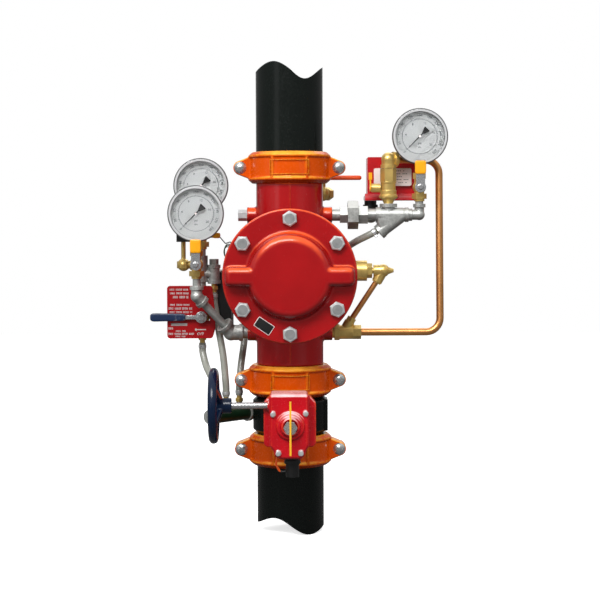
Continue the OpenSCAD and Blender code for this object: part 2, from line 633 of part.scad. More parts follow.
// Gauge valve: hex foot, round body, pivot boss toward the front and a socket for the stem
stem_socket = gauge_rise - bezel_r - 14;
module gauge_valve(f) translate(f) difference() {
    union() {
        cylinder(r = 8.8, h = 5);
        translate([0, 0, 4]) hex(22, 9);
        translate([0, 0, 12]) cylinder(r = 8.5, h = 5);
        translate([0, 0, gauge_pivot_z]) sphere(r = 11.5);
        translate([0, 0, gauge_pivot_z]) cylinder(r = 8.5, h = stem_socket - gauge_pivot_z - 8);
        translate([0, 0, stem_socket - 10]) hex(19, 10);
        translate([0, -22, gauge_pivot_z]) along_y() cylinder(r = 7, h = 22);
    }
    translate([0, 0, stem_socket - 11]) cylinder(r = 6 + fit, h = 12);
    translate([0, 0, -1]) cylinder(r = small_pipe_r + fit, h = 9);
    translate([0, -23, gauge_pivot_z]) along_y() cylinder(r = 3 + run, h = 15);
}
module gauge_valves() color(brass) for (f = feet) gauge_valve(f);
// Lever that points along +X before it is turned, with a dipped grip at its end
module lever(l, grip_l, grip_w, grip_t) {
    strap_w = 1.6 * grip_w;
    translate([0, -26.5, 0]) along_y() cylinder(r = strap_w / 2 + 1.7, h = 4);
    translate([0, -26.5, 0]) along_y() cylinder(r = 3, h = 17.5);
    translate([0, -29, 0]) along_y() hex(8, 3);
    translate([0, -26.5, -strap_w / 2]) cube([l - grip_l + 1, 2.5, strap_w]);
    translate([l - grip_l, -25.25 + grip_t / 2, 0]) rotate([90, 0, 0]) linear_extrude(grip_t)
        polygon(rounded([[grip_l, -grip_w], [grip_l, grip_w], [0, grip_w], [0, -grip_w]], 3));
}
module gauge_handle(f, a, l, grip_l, grip_w, grip_t) color(yellow)
    translate(f + [0, 0, gauge_pivot_z]) rotate([0, a, 0]) lever(l, grip_l, grip_w, grip_t);
module supply_gauge_handle() gauge_handle(supply_foot, -90, gauge_lever_l, 23, 9.6, 7);
module release_gauge_handle() gauge_handle(release_foot, 0, 34, 14, 5, 4);
module alarm_gauge_handle() gauge_handle(alarm_foot, -90, gauge_lever_l + 2, 23, 9.6, 7);

// ---- Pipe fittings: a hollow elbow with collars, and pipe that ends inside it
module elbow(p, u, v, leg, bore, wall) {
    r = bore + fit;
    // Depth at which the two sockets end, just short of each other
    floor = 1.1 * r / tan(acos(unit(u) * unit(v)) / 2);
    difference() {
        union() {
            aim(p, unit(u)) sphere(r = r + wall + 0.6);
            // The second leg is a little slimmer, as cast
            for (i = [0, 1]) aim(p, unit([u, v][i])) {
                cylinder(r = r + wall - 0.5 * i, h = leg);
                translate([0, 0, leg - 6]) cylinder(r = r + wall + 1.8, h = 6);
            }
        }
        for (d = [unit(u), unit(v)]) aim(p, d) translate([0, 0, floor]) cylinder(r = r, h = leg);
    }
}
module ring_hex(p, d, af, h, bore) aim(p, d) difference() {
    hex(af, h);
    translate([0, 0, -1]) cylinder(r = bore + fit, h = h + 2);
}

// ---- Left side: supply gauge line, release line, station and solenoid valve
supply_low = [-101, 0, port_z[1]];
supply_top = [-supply_gauge_x, supply_y, supply_foot[2] - 30];
module supply_gauge_pipe() color(galv) {
    d = unit(supply_top - supply_low);
    translate([supply_low[0] + 12, 0, port_z[1]]) along_x() tube(41, port_r, small_pipe_r);
    elbow(supply_low, [1, 0, 0], d, 20, port_r, 3);
    aim(supply_low + d * 9, d) cylinder(r = small_pipe_r, h = norm(supply_top - supply_low) - 18);
    aim(supply_low + d * 9.5, d) difference() {
        cylinder(r = port_r, h = 9);
        translate([0, 0, -1]) cylinder(r = small_pipe_r + fit, h = 11);
    }
    elbow(supply_top, -d, [0, 0, 1], 17, small_pipe_r, 3);
    translate(supply_top + [0, 0, 8]) cylinder(r = small_pipe_r, h = 29);
}
station_z = valve_z - 74.5;
branch_x = release_x - 21;
module release_pipe() color(galv) {
    top = release_foot[2] + 7;
    translate([-release_x, release_y, station_z + 22]) difference() {
        cylinder(r = small_pipe_r, h = top - station_z - 22);
        translate([0, 0, -1]) cylinder(r = small_pipe_r - 2, h = 300);
    }
    difference() {
        union() {
            for (z = [tee_z, tee_z + 18]) translate([-release_x, release_y, z - 14])
                cylinder(r = small_pipe_r + 3.4, h = 28);
            translate([-release_x, release_y, tee_z]) along_x() cylinder(r = 8.6, h = 21);
            translate([-branch_x, release_y, tee_z - 17]) cylinder(r = 10, h = 32);
            translate([-release_x - 20, release_y, tee_z + 16]) along_x() cylinder(r = 9, h = 20);
            for (z = [tee_z - 17, tee_z + 10]) translate([-branch_x, release_y, z])
                cylinder(r = 11.4, h = 6);
            translate([-release_x, release_y, tee_z]) along_y() cylinder(r = 9, h = 17);
        }
        translate([-release_x, release_y + 8.5, tee_z]) along_y()
            cylinder(r = small_pipe_r + fit, h = 10);
        translate([-release_x, release_y, 0]) cylinder(r = small_pipe_r + fit, h = 900);
        translate([-branch_x, release_y, 0]) cylinder(r = small_pipe_r + fit, h = 900);
        translate([-release_x - 21, release_y, tee_z + 16]) along_x()
            cylinder(r = small_pipe_r + fit, h = 12);
    }
    translate([-branch_x, release_y, tee_z + 8]) cylinder(r = small_pipe_r, h = 8);
    translate([-branch_x, release_y, tee_z + 16]) hex(14, 10);
    // Nipples and elbow behind the tee, which carry the release line on the body
    translate([-release_x, release_y + 9, tee_z]) along_y()
        cylinder(r = small_pipe_r, h = carry_y - release_y - 18);
    elbow([-release_x, carry_y, tee_z], [0, -1, 0], [1, 0, 0], 16, small_pipe_r, 3);
    translate([9 - release_x, carry_y, tee_z]) along_x()
        cylinder(r = small_pipe_r, h = release_x - 9 - carry_x + 12);
}
module solenoid_valve() {
    x = -release_x - 32;
    z = tee_z + 16;
    color(brass) {
        translate([-release_x - 26, release_y, z]) along_x() cylinder(r = small_pipe_r, h = 16);
        translate([x, release_y, z]) sphere(r = 11);
        translate([x, release_y, z - 6]) hex(20, 12);
        translate([x, release_y, z]) cylinder(r = 4, h = 42);
    }
    color(black) translate([x - 11, release_y - 15, z + 40]) cube([28, 30, 36]);
}
module station_valve() color(brass) translate([-release_x, release_y, station_z]) difference() {
    union() {
        translate([0, 0, -28]) cylinder(r = 10, h = 56);
        sphere(r = 14);
        for (z = [-32, 20]) translate([0, 0, z]) hex(22, 12);
        translate([0, station_y - release_y + 3, 0]) along_y() cylinder(r = 9, h = 26);
    }
    translate([0, 0, 21]) cylinder(r = small_pipe_r + fit, h = 20);
    translate([0, 0, -34]) cylinder(r = 5 + fit, h = 20);
    translate([0, station_y - release_y, 0]) along_y() cylinder(r = 4 + run, h = 18);
}
station_y = 14;
module station_plate() color(red) translate([0, station_y + 2.5, 0]) rotate([90, 0, 0])
    linear_extrude(2) difference() {
        polygon(concat(rounded([[-134, station_z + 54], [-212, station_z + 54],
            [-212, station_z - 37], [-134, station_z - 37], [-129, station_z - 20],
            [-129, station_z + 4]], 5)));
        translate([-release_x, station_z]) circle(r = 4 + 0.3);
        translate([-143, station_z - 6]) square([4.5, 11]);
    }
module station_lever() translate([-release_x, 0, station_z]) color(blue) {
    translate([0, station_y - 9, 0]) along_y() cylinder(r = 10, h = 9);
    translate([0, station_y - 12, 0]) along_y() hex(12, 4);
    translate([0, station_y - 4, 0]) along_y() cylinder(r = 4, h = 17);
    translate([-30, station_y - 8, -3.5]) cube([26, 5, 7]);
    translate([0, station_y - 2, 0]) rotate([90, 0, 0]) linear_extrude(7.5)
        polygon(rounded([[-27, 5], [-31, 6.4], [-83, 7.3], [-88, 5], [-88, -5], [-83, -7.3],
            [-31, -6.4], [-27, -5]], 2.5));
}

// ---- Right side: alarm line
line_z = port_z[0];
module alarm_union() color(galv) {
    translate([60, 0, line_z]) along_x() cylinder(r = port_r, h = 32);
    ring_hex([86, 0, line_z], [1, 0, 0], 27, 13, port_r);
    translate([99.2, 0, line_z]) along_x() difference() {
        hex(42, 18);
        translate([0, 0, -1]) cylinder(r = port_r + fit, h = 22);
    }
    ring_hex([117.5, 0, line_z], [1, 0, 0], 30, 16, port_r);
    translate([110, 0, line_z]) along_x() cylinder(r = port_r, h = 44);
}
strainer_x = 147.5;
strainer_l = 55.8;
leg_d = unit([-38, 0, -33]);
leg_at = [strainer_x + 40, 0, line_z];
leg_l = 46;
// Where the hose's barb stands in the blow-off cap, and which way it points
strainer_out = unit([-19, 0, -10]);
strainer_end = leg_at + leg_d * leg_l + [-2.8, 0, 3.2];
check_x = 169;
module strainer_body() color(galv) {
    difference() {
        union() {
            translate([strainer_x, 0, line_z]) along_x() cylinder(r = 11.6, h = strainer_l);
            translate([strainer_x, 0, line_z]) along_x() cylinder(r = 13.2, h = 9);
            translate([strainer_x + strainer_l - 6, 0, line_z]) along_x() cylinder(r = 12.4, h = 6);
            aim(leg_at, leg_d) cylinder(r1 = 10.8, r2 = 12.6, h = leg_l - 5);
            aim(leg_at, leg_d) translate([0, 0, leg_l - 6]) cylinder(r = 13.2, h = 6);
            translate([check_x, 0, line_z]) cylinder(r = 11, h = 16);
            translate([check_x, 0, line_z + 13]) cylinder(r = 15, h = 6);
        }
        translate([strainer_x - 1, 0, line_z]) along_x() cylinder(r = port_r + fit, h = 14.5);
        translate([check_x, 0, line_z + 6]) cylinder(r = 8 + fit, h = 30);
        translate([strainer_x + strainer_l - 8, 0, line_z]) along_x()
            cylinder(r = small_pipe_r + fit, h = 20);
        aim(strainer_end - strainer_out * 11, strainer_out) cylinder(r = 7.8, h = 20);
        aim(strainer_end - strainer_out * 20, strainer_out) cylinder(r = 5 + 2 * fit, h = 30);
    }
    translate([strainer_x + strainer_l - 7, 0, line_z]) along_x()
        tube(alarm_gauge_x - 8.2 - strainer_x - strainer_l + 7, small_pipe_r, 4.5);
    elbow([alarm_gauge_x, 0, line_z], [-1, 0, 0], [0, 0, 1], 18.5, small_pipe_r, 1.8);
    translate([alarm_gauge_x, 0, line_z + 8.2]) cylinder(r = small_pipe_r,
        h = alarm_foot[2] + 7 - line_z - 8.2);
}
out_d = unit([2, 1, 0]);
elbow_z = valve_z + 195;
module alarm_check_valve() color(brass) {
    translate([check_x, 0, line_z]) rotate_extrude() polygon([[0, 10], [8, 10], [8, 20],
        [11, 26], [15, 28.5], [16, 30], [16, 33], [14, 35], [14, 41], [12.8, 42.5], [12.7, 53],
        [13.5, 54], [13.5, 57], [0, 57]]);
    translate([check_x, 0, line_z + 56.5]) hex(24, 22.5);
    difference() {
        translate([check_x, 0, line_z + 77]) cylinder(r = 7, h = elbow_z - 8.5 - line_z - 77);
        translate([check_x, 0, line_z + 70]) cylinder(r = 4, h = 80);
    }
    elbow([check_x, 0, elbow_z], [0, 0, -1], out_d, 15, 7, 4.4);
    // Test cock on the side, and its pivot for the lever
    difference() {
        translate([check_x - 29, 0, line_z + 46]) along_x() cylinder(r = 7.5, h = 29 - 13.6);
        translate([check_x - 30, 0, line_z + 46]) along_x() cylinder(r = 3 + run, h = 10);
    }
}
module test_cock_lever() color(yellow) translate([check_x - 29, 0, line_z + 46]) {
    translate([-3, 0, 0]) along_x() cylinder(r = 6, h = 2.6);
    translate([-3, 0, 0]) along_x() cylinder(r = 3, h = 10);
    translate([-3, -3.5, 0]) cube([2.6, 7, 24]);
    translate([-4.5, -4.5, 14]) cube([5.5, 9, 12]);
}
switch_x = 141;
switch_y = 50;
switch_z = line_z + 25;
switch_w = 83;
switch_h = 75;
switch_d = 48;
module pressure_switch_base() {
    color(galv) {
        elbow([switch_x, switch_y, line_z - 2], [0, -1, 0], [0, 0, 1], 16, small_pipe_r, 3);
        translate([switch_x, 17, line_z - 2]) along_y() cylinder(r = small_pipe_r, h = 24);
        translate([switch_x, switch_y, line_z + 7]) cylinder(r = small_pipe_r, h = 12);
    }
    color(black) translate([switch_x, switch_y, line_z + 12]) difference() {
        union() {
            cylinder(r = 10.5, h = switch_z - line_z - 12.3);
            cylinder(r = 13, h = 6);
        }
        translate([0, 0, -1]) cylinder(r = small_pipe_r + fit, h = 9);
    }
}
module pressure_switch_cover() color(red) translate([135, 32, switch_z]) {
    difference() {
        union() {
            translate([0, switch_d, 0]) rotate([90, 0, 0]) linear_extrude(switch_d)
                polygon(rounded([[switch_w, 13], [switch_w, switch_h], [0, switch_h], [0, 13],
                    [-4.5, 7], [-4.5, 0], [switch_w + 2, 0], [switch_w + 2, 7]], 2));
            translate([-4.5, 0, 0]) rotate([90, 0, 90]) linear_extrude(switch_w + 6.5)
                polygon([[1, 12], [-5, 8], [-6, 6], [-6, 0], [1, 0]]);
        }
        translate([3, 3, 9]) cube([switch_w - 6, 60, switch_h - 12]);
    }
    translate([0.5, switch_d + 0.1, 0.5]) cube([switch_w - 1, 2, switch_h - 1]);
    translate([30, 3.5, 14]) cube([25, switch_d - 4, 36]);
}
loop_x = 258;
loop_y = 26;
tee_out = 123;
module copper_loop() color(copper) sweep(bend_path([
    [check_x, 0, elbow_z] + out_d * 9, [check_x + 2 * loop_y, loop_y, elbow_z],
    [loop_x, loop_y, elbow_z], [loop_x, 0, port_z[1]], [tee_out - 8, 0, port_z[1]]], 24, 8),
    copper_r, 20);
link_low = [92, 0, port_z[1]];
link_d = unit([-48, 0, -81]);
module copper_link() color(copper)
    aim([link_low[0] + 12, 0, port_z[1] + 20.3], -link_d) tube(74, 4.76, 3.8);
module tube(l, r, bore) difference() {
    cylinder(r = r, h = l);
    translate([0, 0, -1]) cylinder(r = bore, h = l + 2);
}
module priming_fittings() color(brass) {
    // Tee on the priming port
    difference() {
        union() {
            translate([76, 0, port_z[1]]) along_x() cylinder(r = 12, h = 32);
            translate([76, 0, port_z[1]]) along_x() hex(24, 9);
            aim(link_low, -link_d) cylinder(r = 9, h = 21);
            aim(link_low, -link_d) translate([0, 0, 18]) hex(15, 11);
            translate([108, 0, port_z[1]]) along_x() hex(21, 14);
        }
        translate([60, 0, port_z[1]]) along_x() cylinder(r = 7 + fit, h = 30);
        aim(link_low, -link_d) translate([0, 0, 12]) cylinder(r = 4.76 + fit, h = 30);
        translate([110, 0, port_z[1]]) along_x() cylinder(r = copper_r + fit, h = 30);
    }
    translate([60, 0, port_z[1]]) along_x() cylinder(r = port_r, h = 15.8);
    translate([75, 0, port_z[1]]) along_x() cylinder(r = 7, h = 12);
    // Elbow on the pushrod chamber
    difference() {
        union() {
            translate([143.4, 0, rod_z]) along_x() cylinder(r = 10, h = 17);
            translate([160, 0, rod_z]) sphere(r = 11);
            aim([160, 0, rod_z], link_d) cylinder(r = 9, h = 22);
            aim([160, 0, rod_z], link_d) translate([0, 0, 13]) hex(15, 11);
            translate([164, 0, rod_z]) along_x() cylinder(r1 = 8, r2 = 3, h = 14);
        }
        aim([160, 0, rod_z], link_d) translate([0, 0, 10]) cylinder(r = 4.76 + fit, h = 30);
    }
    translate([132.5, 0, rod_z]) along_x() cylinder(r = 5, h = 10.9);
}

// ---- Drain line: pipe on the valve's shoulder, three hose barbs standing on it
drain_z = butterfly_z - 3.6;
drain_a = [-139.5, -17.5, drain_z];
drain_d = unit([1, 1, 0]);
drain_l = 104;
drain_c = drain_a + drain_d * drain_l;
barb_at = [-129, -111, -89];
barb_top = drain_z + 32;
function barb_xy(x) = [x, x + drain_a[1] - drain_a[0]];
module drain_line() color(black) {
    difference() {
        union() {
            aim(drain_a, drain_d) cylinder(r = drain_r, h = drain_l);
            aim(drain_a, drain_d) translate([0, 0, drain_l - 16]) cylinder(r = drain_r + 3, h = 6);
            aim(drain_c, drain_d) sphere(r = drain_r + 1.5);
            aim(drain_c, [1, -1, 0]) cylinder(r = drain_r - 0.5, h = 30);
        }
        translate([0, 0, butterfly_z - 50]) cylinder(r = pipe_r + 7.1, h = 100);
        for (x = barb_at) translate([barb_xy(x)[0], barb_xy(x)[1], drain_z])
            cylinder(r = 5.1, h = 30);
    }
    aim(drain_a - drain_d * 2.1, drain_d) cylinder(r = drain_r - 1, h = 2);
}
// Barb that stands up or hangs down, with the hose's end face against its shoulder
module barb(p, d, shank = 0) aim(p, d) {
    translate([0, 0, -shank]) cylinder(r = 5, h = shank + 14);
    translate([0, 0, 9]) hex(13, 6);
    translate([0, 0, 15]) cylinder(r = 4.6, h = 4.7);
}
module hose_barbs() color(brass) {
    for (x = barb_at) barb([barb_xy(x)[0], barb_xy(x)[1], barb_top - 20], [0, 0, 1], 6);
    barb([-release_x, release_y, station_z - 26.7], [0, 0, -1]);
    barb([-branch_x, release_y, tee_z - 12.2], [0, 0, -1]);
    translate([-branch_x, release_y, tee_z - 17]) cylinder(r = small_pipe_r, h = 4);
    barb(strainer_end - strainer_out * 19.7, strainer_out);
}
station_route = [[-153, 42, 261], [-153, 42, 252], [-152, 40, 242], [-146, 28, 222],
    [-137, 8, 206], [-130, -5, 194], [-129, -7, 185], [-129, -7, 177], [-129, -7, 170]];
release_route = [[-132, 42, 349], [-132, 42, 340], [-131, 41, 328], [-125, 33, 290],
    [-116, 20, 240], [-112, 12, 200], [-111, 11, 186], [-111, 11, 178], [-111, 11, 170]];
alarm_route = [[149.7, 0, 455.5], [141.7, 0, 451.3], [131, 3, 446], [116, 18, 438], [102, 60, 428],
    [74, 98, 410], [0, 112, 372], [-64, 105, 330], [-78, 84, 296], [-81, 62, 260],
    [-86, 46, 222], [-88, 38, 198], [-89, 34, 184], [-89, 33, 177], [-89, 33, 170]];
module station_drain_hose() color(hose_grey) hose(station_route, hose_r, 12, 3);
module release_drain_hose() color(hose_grey) hose(release_route, hose_r, 12, 3);
module alarm_drain_hose() color(hose_grey) hose(alarm_route, hose_r, 12, 4);

// ---- Plate behind the cover, and the wire that it hangs from
sign_y = 54;
sign_x = -drum_r - 1;
module sign_plate() {
    color(black) difference() {
        translate([0, sign_y + 1.6, 0]) rotate([90, 0, 0]) linear_extrude(1.6) polygon(rounded(
            [[sign_x - 30, 387], [sign_x - 30, 276], [sign_x, 276], [sign_x, 387]], 14));
        translate([sign_x - 9, sign_y - 1, 380]) along_y() cylinder(r = 2, h = 4);
    }
    color("dimgray") sweep(bend_path([[-137, 38, 447], [-122, 40, 446], [-112, 44, 434],
        [-103, 47, 437], [sign_x - 2, 50, 420], [sign_x - 9, 52.7, 379],
        [sign_x - 9, 57.5, 379], [sign_x - 9, 57.5, 392]], 1.4, 3), 0.9, 8);
}
module system_valve() color(brass) translate([0, 0, side_port_z]) rotate([0, 0, 50]) {
    translate([50, 0, 0]) along_x() cylinder(r = small_pipe_r, h = 22);
    translate([pipe_r + 8.5, 0, 0]) along_x() hex(20, 12);
    difference() {
        union() {
            translate([pipe_r + 32, 0, 0]) sphere(r = 13);
            translate([pipe_r + 32, 0, 0]) cylinder(r = 6, h = 25.5);
        }
        translate([pipe_r + 32, 0, 3]) cylinder(r = 3 + run, h = 30);
    }
    translate([pipe_r + 42, 0, 0]) along_x() hex(20, 10);
}
module system_lever() color(orange) translate([0, 0, side_port_z]) rotate([0, 0, 50])
    translate([pipe_r + 32, 0, 0]) rotate([0, 0, -50]) {
        translate([0, 0, 4]) cylinder(r = 3, h = 25);
        translate([0, 0, 26]) cylinder(r = 7, h = 4);
        translate([0, -4.5, 26.5]) cube([16, 9, 3]);
        translate([11, 0, 28]) along_x() cylinder(r = 4.1, h = 54);
        translate([65, 0, 28]) along_x() sphere(r = 4.1);
    }

lower_pipe();
upper_pipe();
coupling_front_halves();
coupling_rear_halves();
coupling_gaskets();
coupling_bolts();
valve_body();
valve_seat();
valve_cover();
cover_gasket();
cover_bolts();
pivot_pins();
pushrod_chamber();
port_plug();
clapper();
clapper_seal();
latch_lever();
pushrod();
butterfly_body();
butterfly_disc();
disc_stem();
position_flag();
gear_housing();
gear_cover();
switch_conduit();
worm_shaft();
handwheel();
gauge_cases();
gauge_dials();
gauge_lenses();
gauge_valves();
supply_pointer();
release_pointer();
alarm_pointer();
supply_gauge_handle();
release_gauge_handle();
alarm_gauge_handle();
supply_gauge_pipe();
release_pipe();
solenoid_valve();
station_valve();
station_lever();
station_plate();
alarm_union();
strainer_body();
alarm_check_valve();
pressure_switch_base();
pressure_switch_cover();
copper_loop();
copper_link();
priming_fittings();
hose_barbs();
station_drain_hose();
release_drain_hose();
alarm_drain_hose();
drain_line();
sign_plate();
test_cock_lever();
system_valve();
system_lever();
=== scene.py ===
import json
import math

import bmesh
import bpy
from mathutils import Matrix, Vector

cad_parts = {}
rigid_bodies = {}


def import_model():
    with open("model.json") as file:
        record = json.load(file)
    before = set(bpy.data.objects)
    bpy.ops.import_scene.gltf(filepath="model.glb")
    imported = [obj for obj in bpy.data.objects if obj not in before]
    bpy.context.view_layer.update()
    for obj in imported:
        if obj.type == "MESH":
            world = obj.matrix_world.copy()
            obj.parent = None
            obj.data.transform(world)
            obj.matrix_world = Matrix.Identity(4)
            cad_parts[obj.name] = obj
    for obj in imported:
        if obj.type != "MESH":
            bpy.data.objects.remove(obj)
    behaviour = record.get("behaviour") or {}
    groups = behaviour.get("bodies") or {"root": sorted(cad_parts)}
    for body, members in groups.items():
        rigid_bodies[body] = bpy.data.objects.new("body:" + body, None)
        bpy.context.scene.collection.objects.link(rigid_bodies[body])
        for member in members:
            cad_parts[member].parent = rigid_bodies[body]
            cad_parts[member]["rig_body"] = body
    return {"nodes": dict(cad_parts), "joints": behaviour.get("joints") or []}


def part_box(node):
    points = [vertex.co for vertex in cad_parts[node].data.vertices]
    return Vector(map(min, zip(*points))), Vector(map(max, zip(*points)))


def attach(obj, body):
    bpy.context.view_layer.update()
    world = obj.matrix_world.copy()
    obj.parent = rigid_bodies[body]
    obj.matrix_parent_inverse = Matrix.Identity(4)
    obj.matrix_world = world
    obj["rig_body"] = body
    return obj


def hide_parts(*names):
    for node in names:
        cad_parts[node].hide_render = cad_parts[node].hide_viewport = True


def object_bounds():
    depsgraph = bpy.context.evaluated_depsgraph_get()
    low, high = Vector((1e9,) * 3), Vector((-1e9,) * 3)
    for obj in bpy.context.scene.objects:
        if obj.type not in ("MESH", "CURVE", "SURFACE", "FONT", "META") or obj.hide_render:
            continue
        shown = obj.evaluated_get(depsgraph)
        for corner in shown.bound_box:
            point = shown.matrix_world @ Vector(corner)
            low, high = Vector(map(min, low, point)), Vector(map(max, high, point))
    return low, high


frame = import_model()
CAD_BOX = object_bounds()
NODES = frame["nodes"]
JOINTS = {joint["name"]: joint for joint in frame["joints"]}

bl_info = {
    "name": "Deluge valve riser",
    "version": (1, 0, 0),
    "blender": (4, 5, 0),
    "location": "View3D > Sidebar > Riser",
    "description": "Finishes, hoses, dials and plates of a deluge valve and its trim",
    "category": "Object",
}

MM = 0.001
NECK_RADIUS = 57.15 * MM
COUPLING_RADIUS = 70.5 * MM
BOLT_CIRCLE = 94.5 * MM
VALVE_HEIGHT = 382.2 * MM
COVER_THICKNESS = 16 * MM
# Turns what lies flat to face the camera
TO_FRONT = Matrix.Rotation(math.radians(90), 4, "X")
# Start of a material's name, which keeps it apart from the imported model's own
FINISH = "finish_"


# Colours and small sizes that a user would change

def linear(value):
    """The linear value of a display value of 0 to 255."""
    value /= 255
    return value / 12.92 if value <= 0.04045 else ((value + 0.055) / 1.055) ** 2.4


def colour(name, description, *display):
    """A colour property, its default given as display values."""
    return bpy.props.FloatVectorProperty(
        name=name, description=description, subtype="COLOR", size=3, min=0, max=1,
        default=[linear(value) for value in display])


def length(name, description, default):
    return bpy.props.FloatProperty(
        name=name, description=description, default=default * MM, min=0,
        subtype="DISTANCE", unit="LENGTH")


class RiserColours(bpy.types.PropertyGroup):
    """Colours of the paints, metals and plastics"""

    red: colour("Valve red", "Enamel of the deluge valve", 162, 15, 19)
    crimson: colour("Gearbox red", "Enamel of the gear operator", 196, 4, 24)
    switch_red: colour("Switch red", "Powder coat of the pressure switch", 184, 14, 24)
    plate_red: colour("Plate red", "Print of the station's plate", 150, 2, 10)
    orange: colour("Coupling orange", "Enamel of the couplings", 214, 78, 0)
    # Painted highlight: the orange that the red and crimson enamel take on their edges where the light
    # catches them; also the paint of the small red lever
    glow: colour("Edge orange", "Thin red enamel where it turns over an edge", 255, 92, 36)
    # Painted highlight: the orange of red enamel on shoulders that face the key lamp
    shoulder: colour("Shoulder orange", "Red enamel on shoulders that face the light", 250, 92, 34)
    # Painted highlight on the couplings' shoulders and tops
    pale_orange: colour("Pale orange", "Coupling enamel on the same shoulders", 255, 176, 60)
    # Painted shade on the couplings' downturned faces
    dark_orange: colour("Dark orange", "Coupling enamel turned down", 132, 40, 4)
    # Painted highlight on the upper faces of the gear operator and the switch
    pink: colour("Pale red", "Upper faces of the gear operator", 252, 210, 212)
    black: colour("Pipe black", "Enamel of the pipe and the butterfly valve", 9, 13, 11)
    green_black: colour("Drain black", "Enamel of the drain header", 20, 44, 26)
    navy: colour("Handwheel blue", "Coating of the handwheel", 5, 24, 50)
    lever_blue: colour("Lever blue", "Worn vinyl of the station lever", 8, 32, 66)
    yellow: colour("Flag yellow", "Enamel of the position flag", 240, 178, 34)
    amber: colour("Grip amber", "Dipped vinyl of the small levers", 243, 166, 8)
    brass: colour("Brass", "Fittings and check valve", 234, 200, 118)
    bronze: colour("Bronze", "Seat and clapper", 178, 128, 74)
    copper: colour("Copper", "Tube of the alarm loop", 236, 166, 100)
    zinc: colour("Zinc", "Bolts and nuts", 214, 216, 216)
    galvanised: colour("Galvanised iron", "Pipe fittings of the trim", 184, 186, 182)
    steel: colour("Steel", "Shafts, pins and gauge cases", 214, 215, 216)
    rubber: colour("Rubber", "Gaskets", 28, 28, 30)
    moulding: colour("Black moulding", "Coil, conduit and small black plastics", 12, 13, 13)
    hose: colour("Hose", "Soft drain tubing", 150, 151, 142)
    dial: colour("Dial", "Face of the gauges", 161, 162, 162)
    print: colour("Print", "Figures and lines of the dials", 104, 108, 110)
    label: colour("Label", "Bare labels and printed strokes", 240, 226, 224)


class RiserSizes(bpy.types.PropertyGroup):
    """Small sizes that belong to the looks only"""

    hose_diameter: length("Hose diameter", "Outside diameter of a drain hose", 12)
    edge_radius: length("Edge radius", "Radius at which cast edges catch light", 1.2)
    cast_voxel: length("Casting step", "Size at which castings are rounded", 1.5)
    floor_size: length("Floor size", "Side of the studio floor", 9000)


def colours():
    return bpy.context.scene.riser_colours


def sizes():
    return bpy.context.scene.riser_sizes


# Places taken from the frame

def pivot(joint):
    """The point that a joint turns about."""
    return Vector(JOINTS[joint]["pos_m"])


def body_of(node):
    return NODES[node]["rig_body"]


def middle(node):
    low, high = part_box(node)
    return (low + high) / 2


# Shader nodes

def feed(tree, sockets, values):
    """Links each named socket to another one, or sets it to a number or a colour."""
    for label, value in values.items():
        if isinstance(value, bpy.types.NodeSocket):
            tree.links.new(value, sockets[label])
        elif isinstance(value, (int, float)):
            sockets[label].default_value = value
        else:
            sockets[label].default_value = (*value, 1)


def add_node(tree, kind, inputs=None, **settings):
    node = tree.nodes.new(kind)
    for key, value in settings.items():
        setattr(node, key, value)
    feed(tree, node.inputs, inputs or {})
    return node


def sum_node(tree, operation, *values):
    """A Math node fed by sockets or numbers; its result socket."""
    return add_node(tree, "ShaderNodeMath", dict(enumerate(values)), operation=operation).outputs[0]


def spread(tree, value, low, high, to_low=0.0, to_high=1.0):
    """Maps a value's range onto another; its result socket."""
    return add_node(tree, "ShaderNodeMapRange", {
        "Value": value, "From Min": low, "From Max": high, "To Min": to_low, "To Max": to_high,
    }).outputs["Result"]


def object_place(tree):
    return add_node(tree, "ShaderNodeTexCoord").outputs["Object"]


def noise(tree, scale, detail, roughness=0.5):
    return add_node(tree, "ShaderNodeTexNoise", {
        "Vector": object_place(tree), "Scale": scale, "Detail": detail, "Roughness": roughness,
    }).outputs["Fac"]


def mix_colours(tree, factor, first, second):
    inputs = {"Factor": factor, 6: first, 7: second}
    return add_node(tree, "ShaderNodeMix", inputs, data_type="RGBA").outputs[2]


def bump(tree, height, distance, strength, **under):
    """The normal of a Bump node, over another Normal where one is given."""
    inputs = {"Height": height, "Distance": distance, "Strength": strength, **under}
    return add_node(tree, "ShaderNodeBump", inputs).outputs["Normal"]


def new_group(name, inputs, outputs):
    """An empty node group with number inputs; its tree and the sockets at its two ends."""
    tree = bpy.data.node_groups.new(name, "ShaderNodeTree")
    for label, value in inputs.items():
        socket = tree.interface.new_socket(name=label, in_out="INPUT", socket_type="NodeSocketFloat")
        socket.default_value = value
    for label in outputs:
        kind = "NodeSocketVector" if label == "Normal" else "NodeSocketFloat"
        tree.interface.new_socket(name=label, in_out="OUTPUT", socket_type=kind)
    return tree, tree.nodes.new("NodeGroupInput").outputs, tree.nodes.new("NodeGroupOutput").inputs


def surface_group():
    """Fine grain and broad clouds over a surface."""
    name = "surface_grain"
    if name in bpy.data.node_groups:
        return bpy.data.node_groups[name]
    tree, given, made = new_group(name, {"Grain Scale": 400, "Cloud Scale": 14}, ("Grain", "Cloud"))
    feed(tree, made, {
        "Grain": noise(tree, given["Grain Scale"], 5, 0.6),
        "Cloud": spread(tree, noise(tree, given["Cloud Scale"], 3, 0.55), 0.3, 0.7)})
    return tree


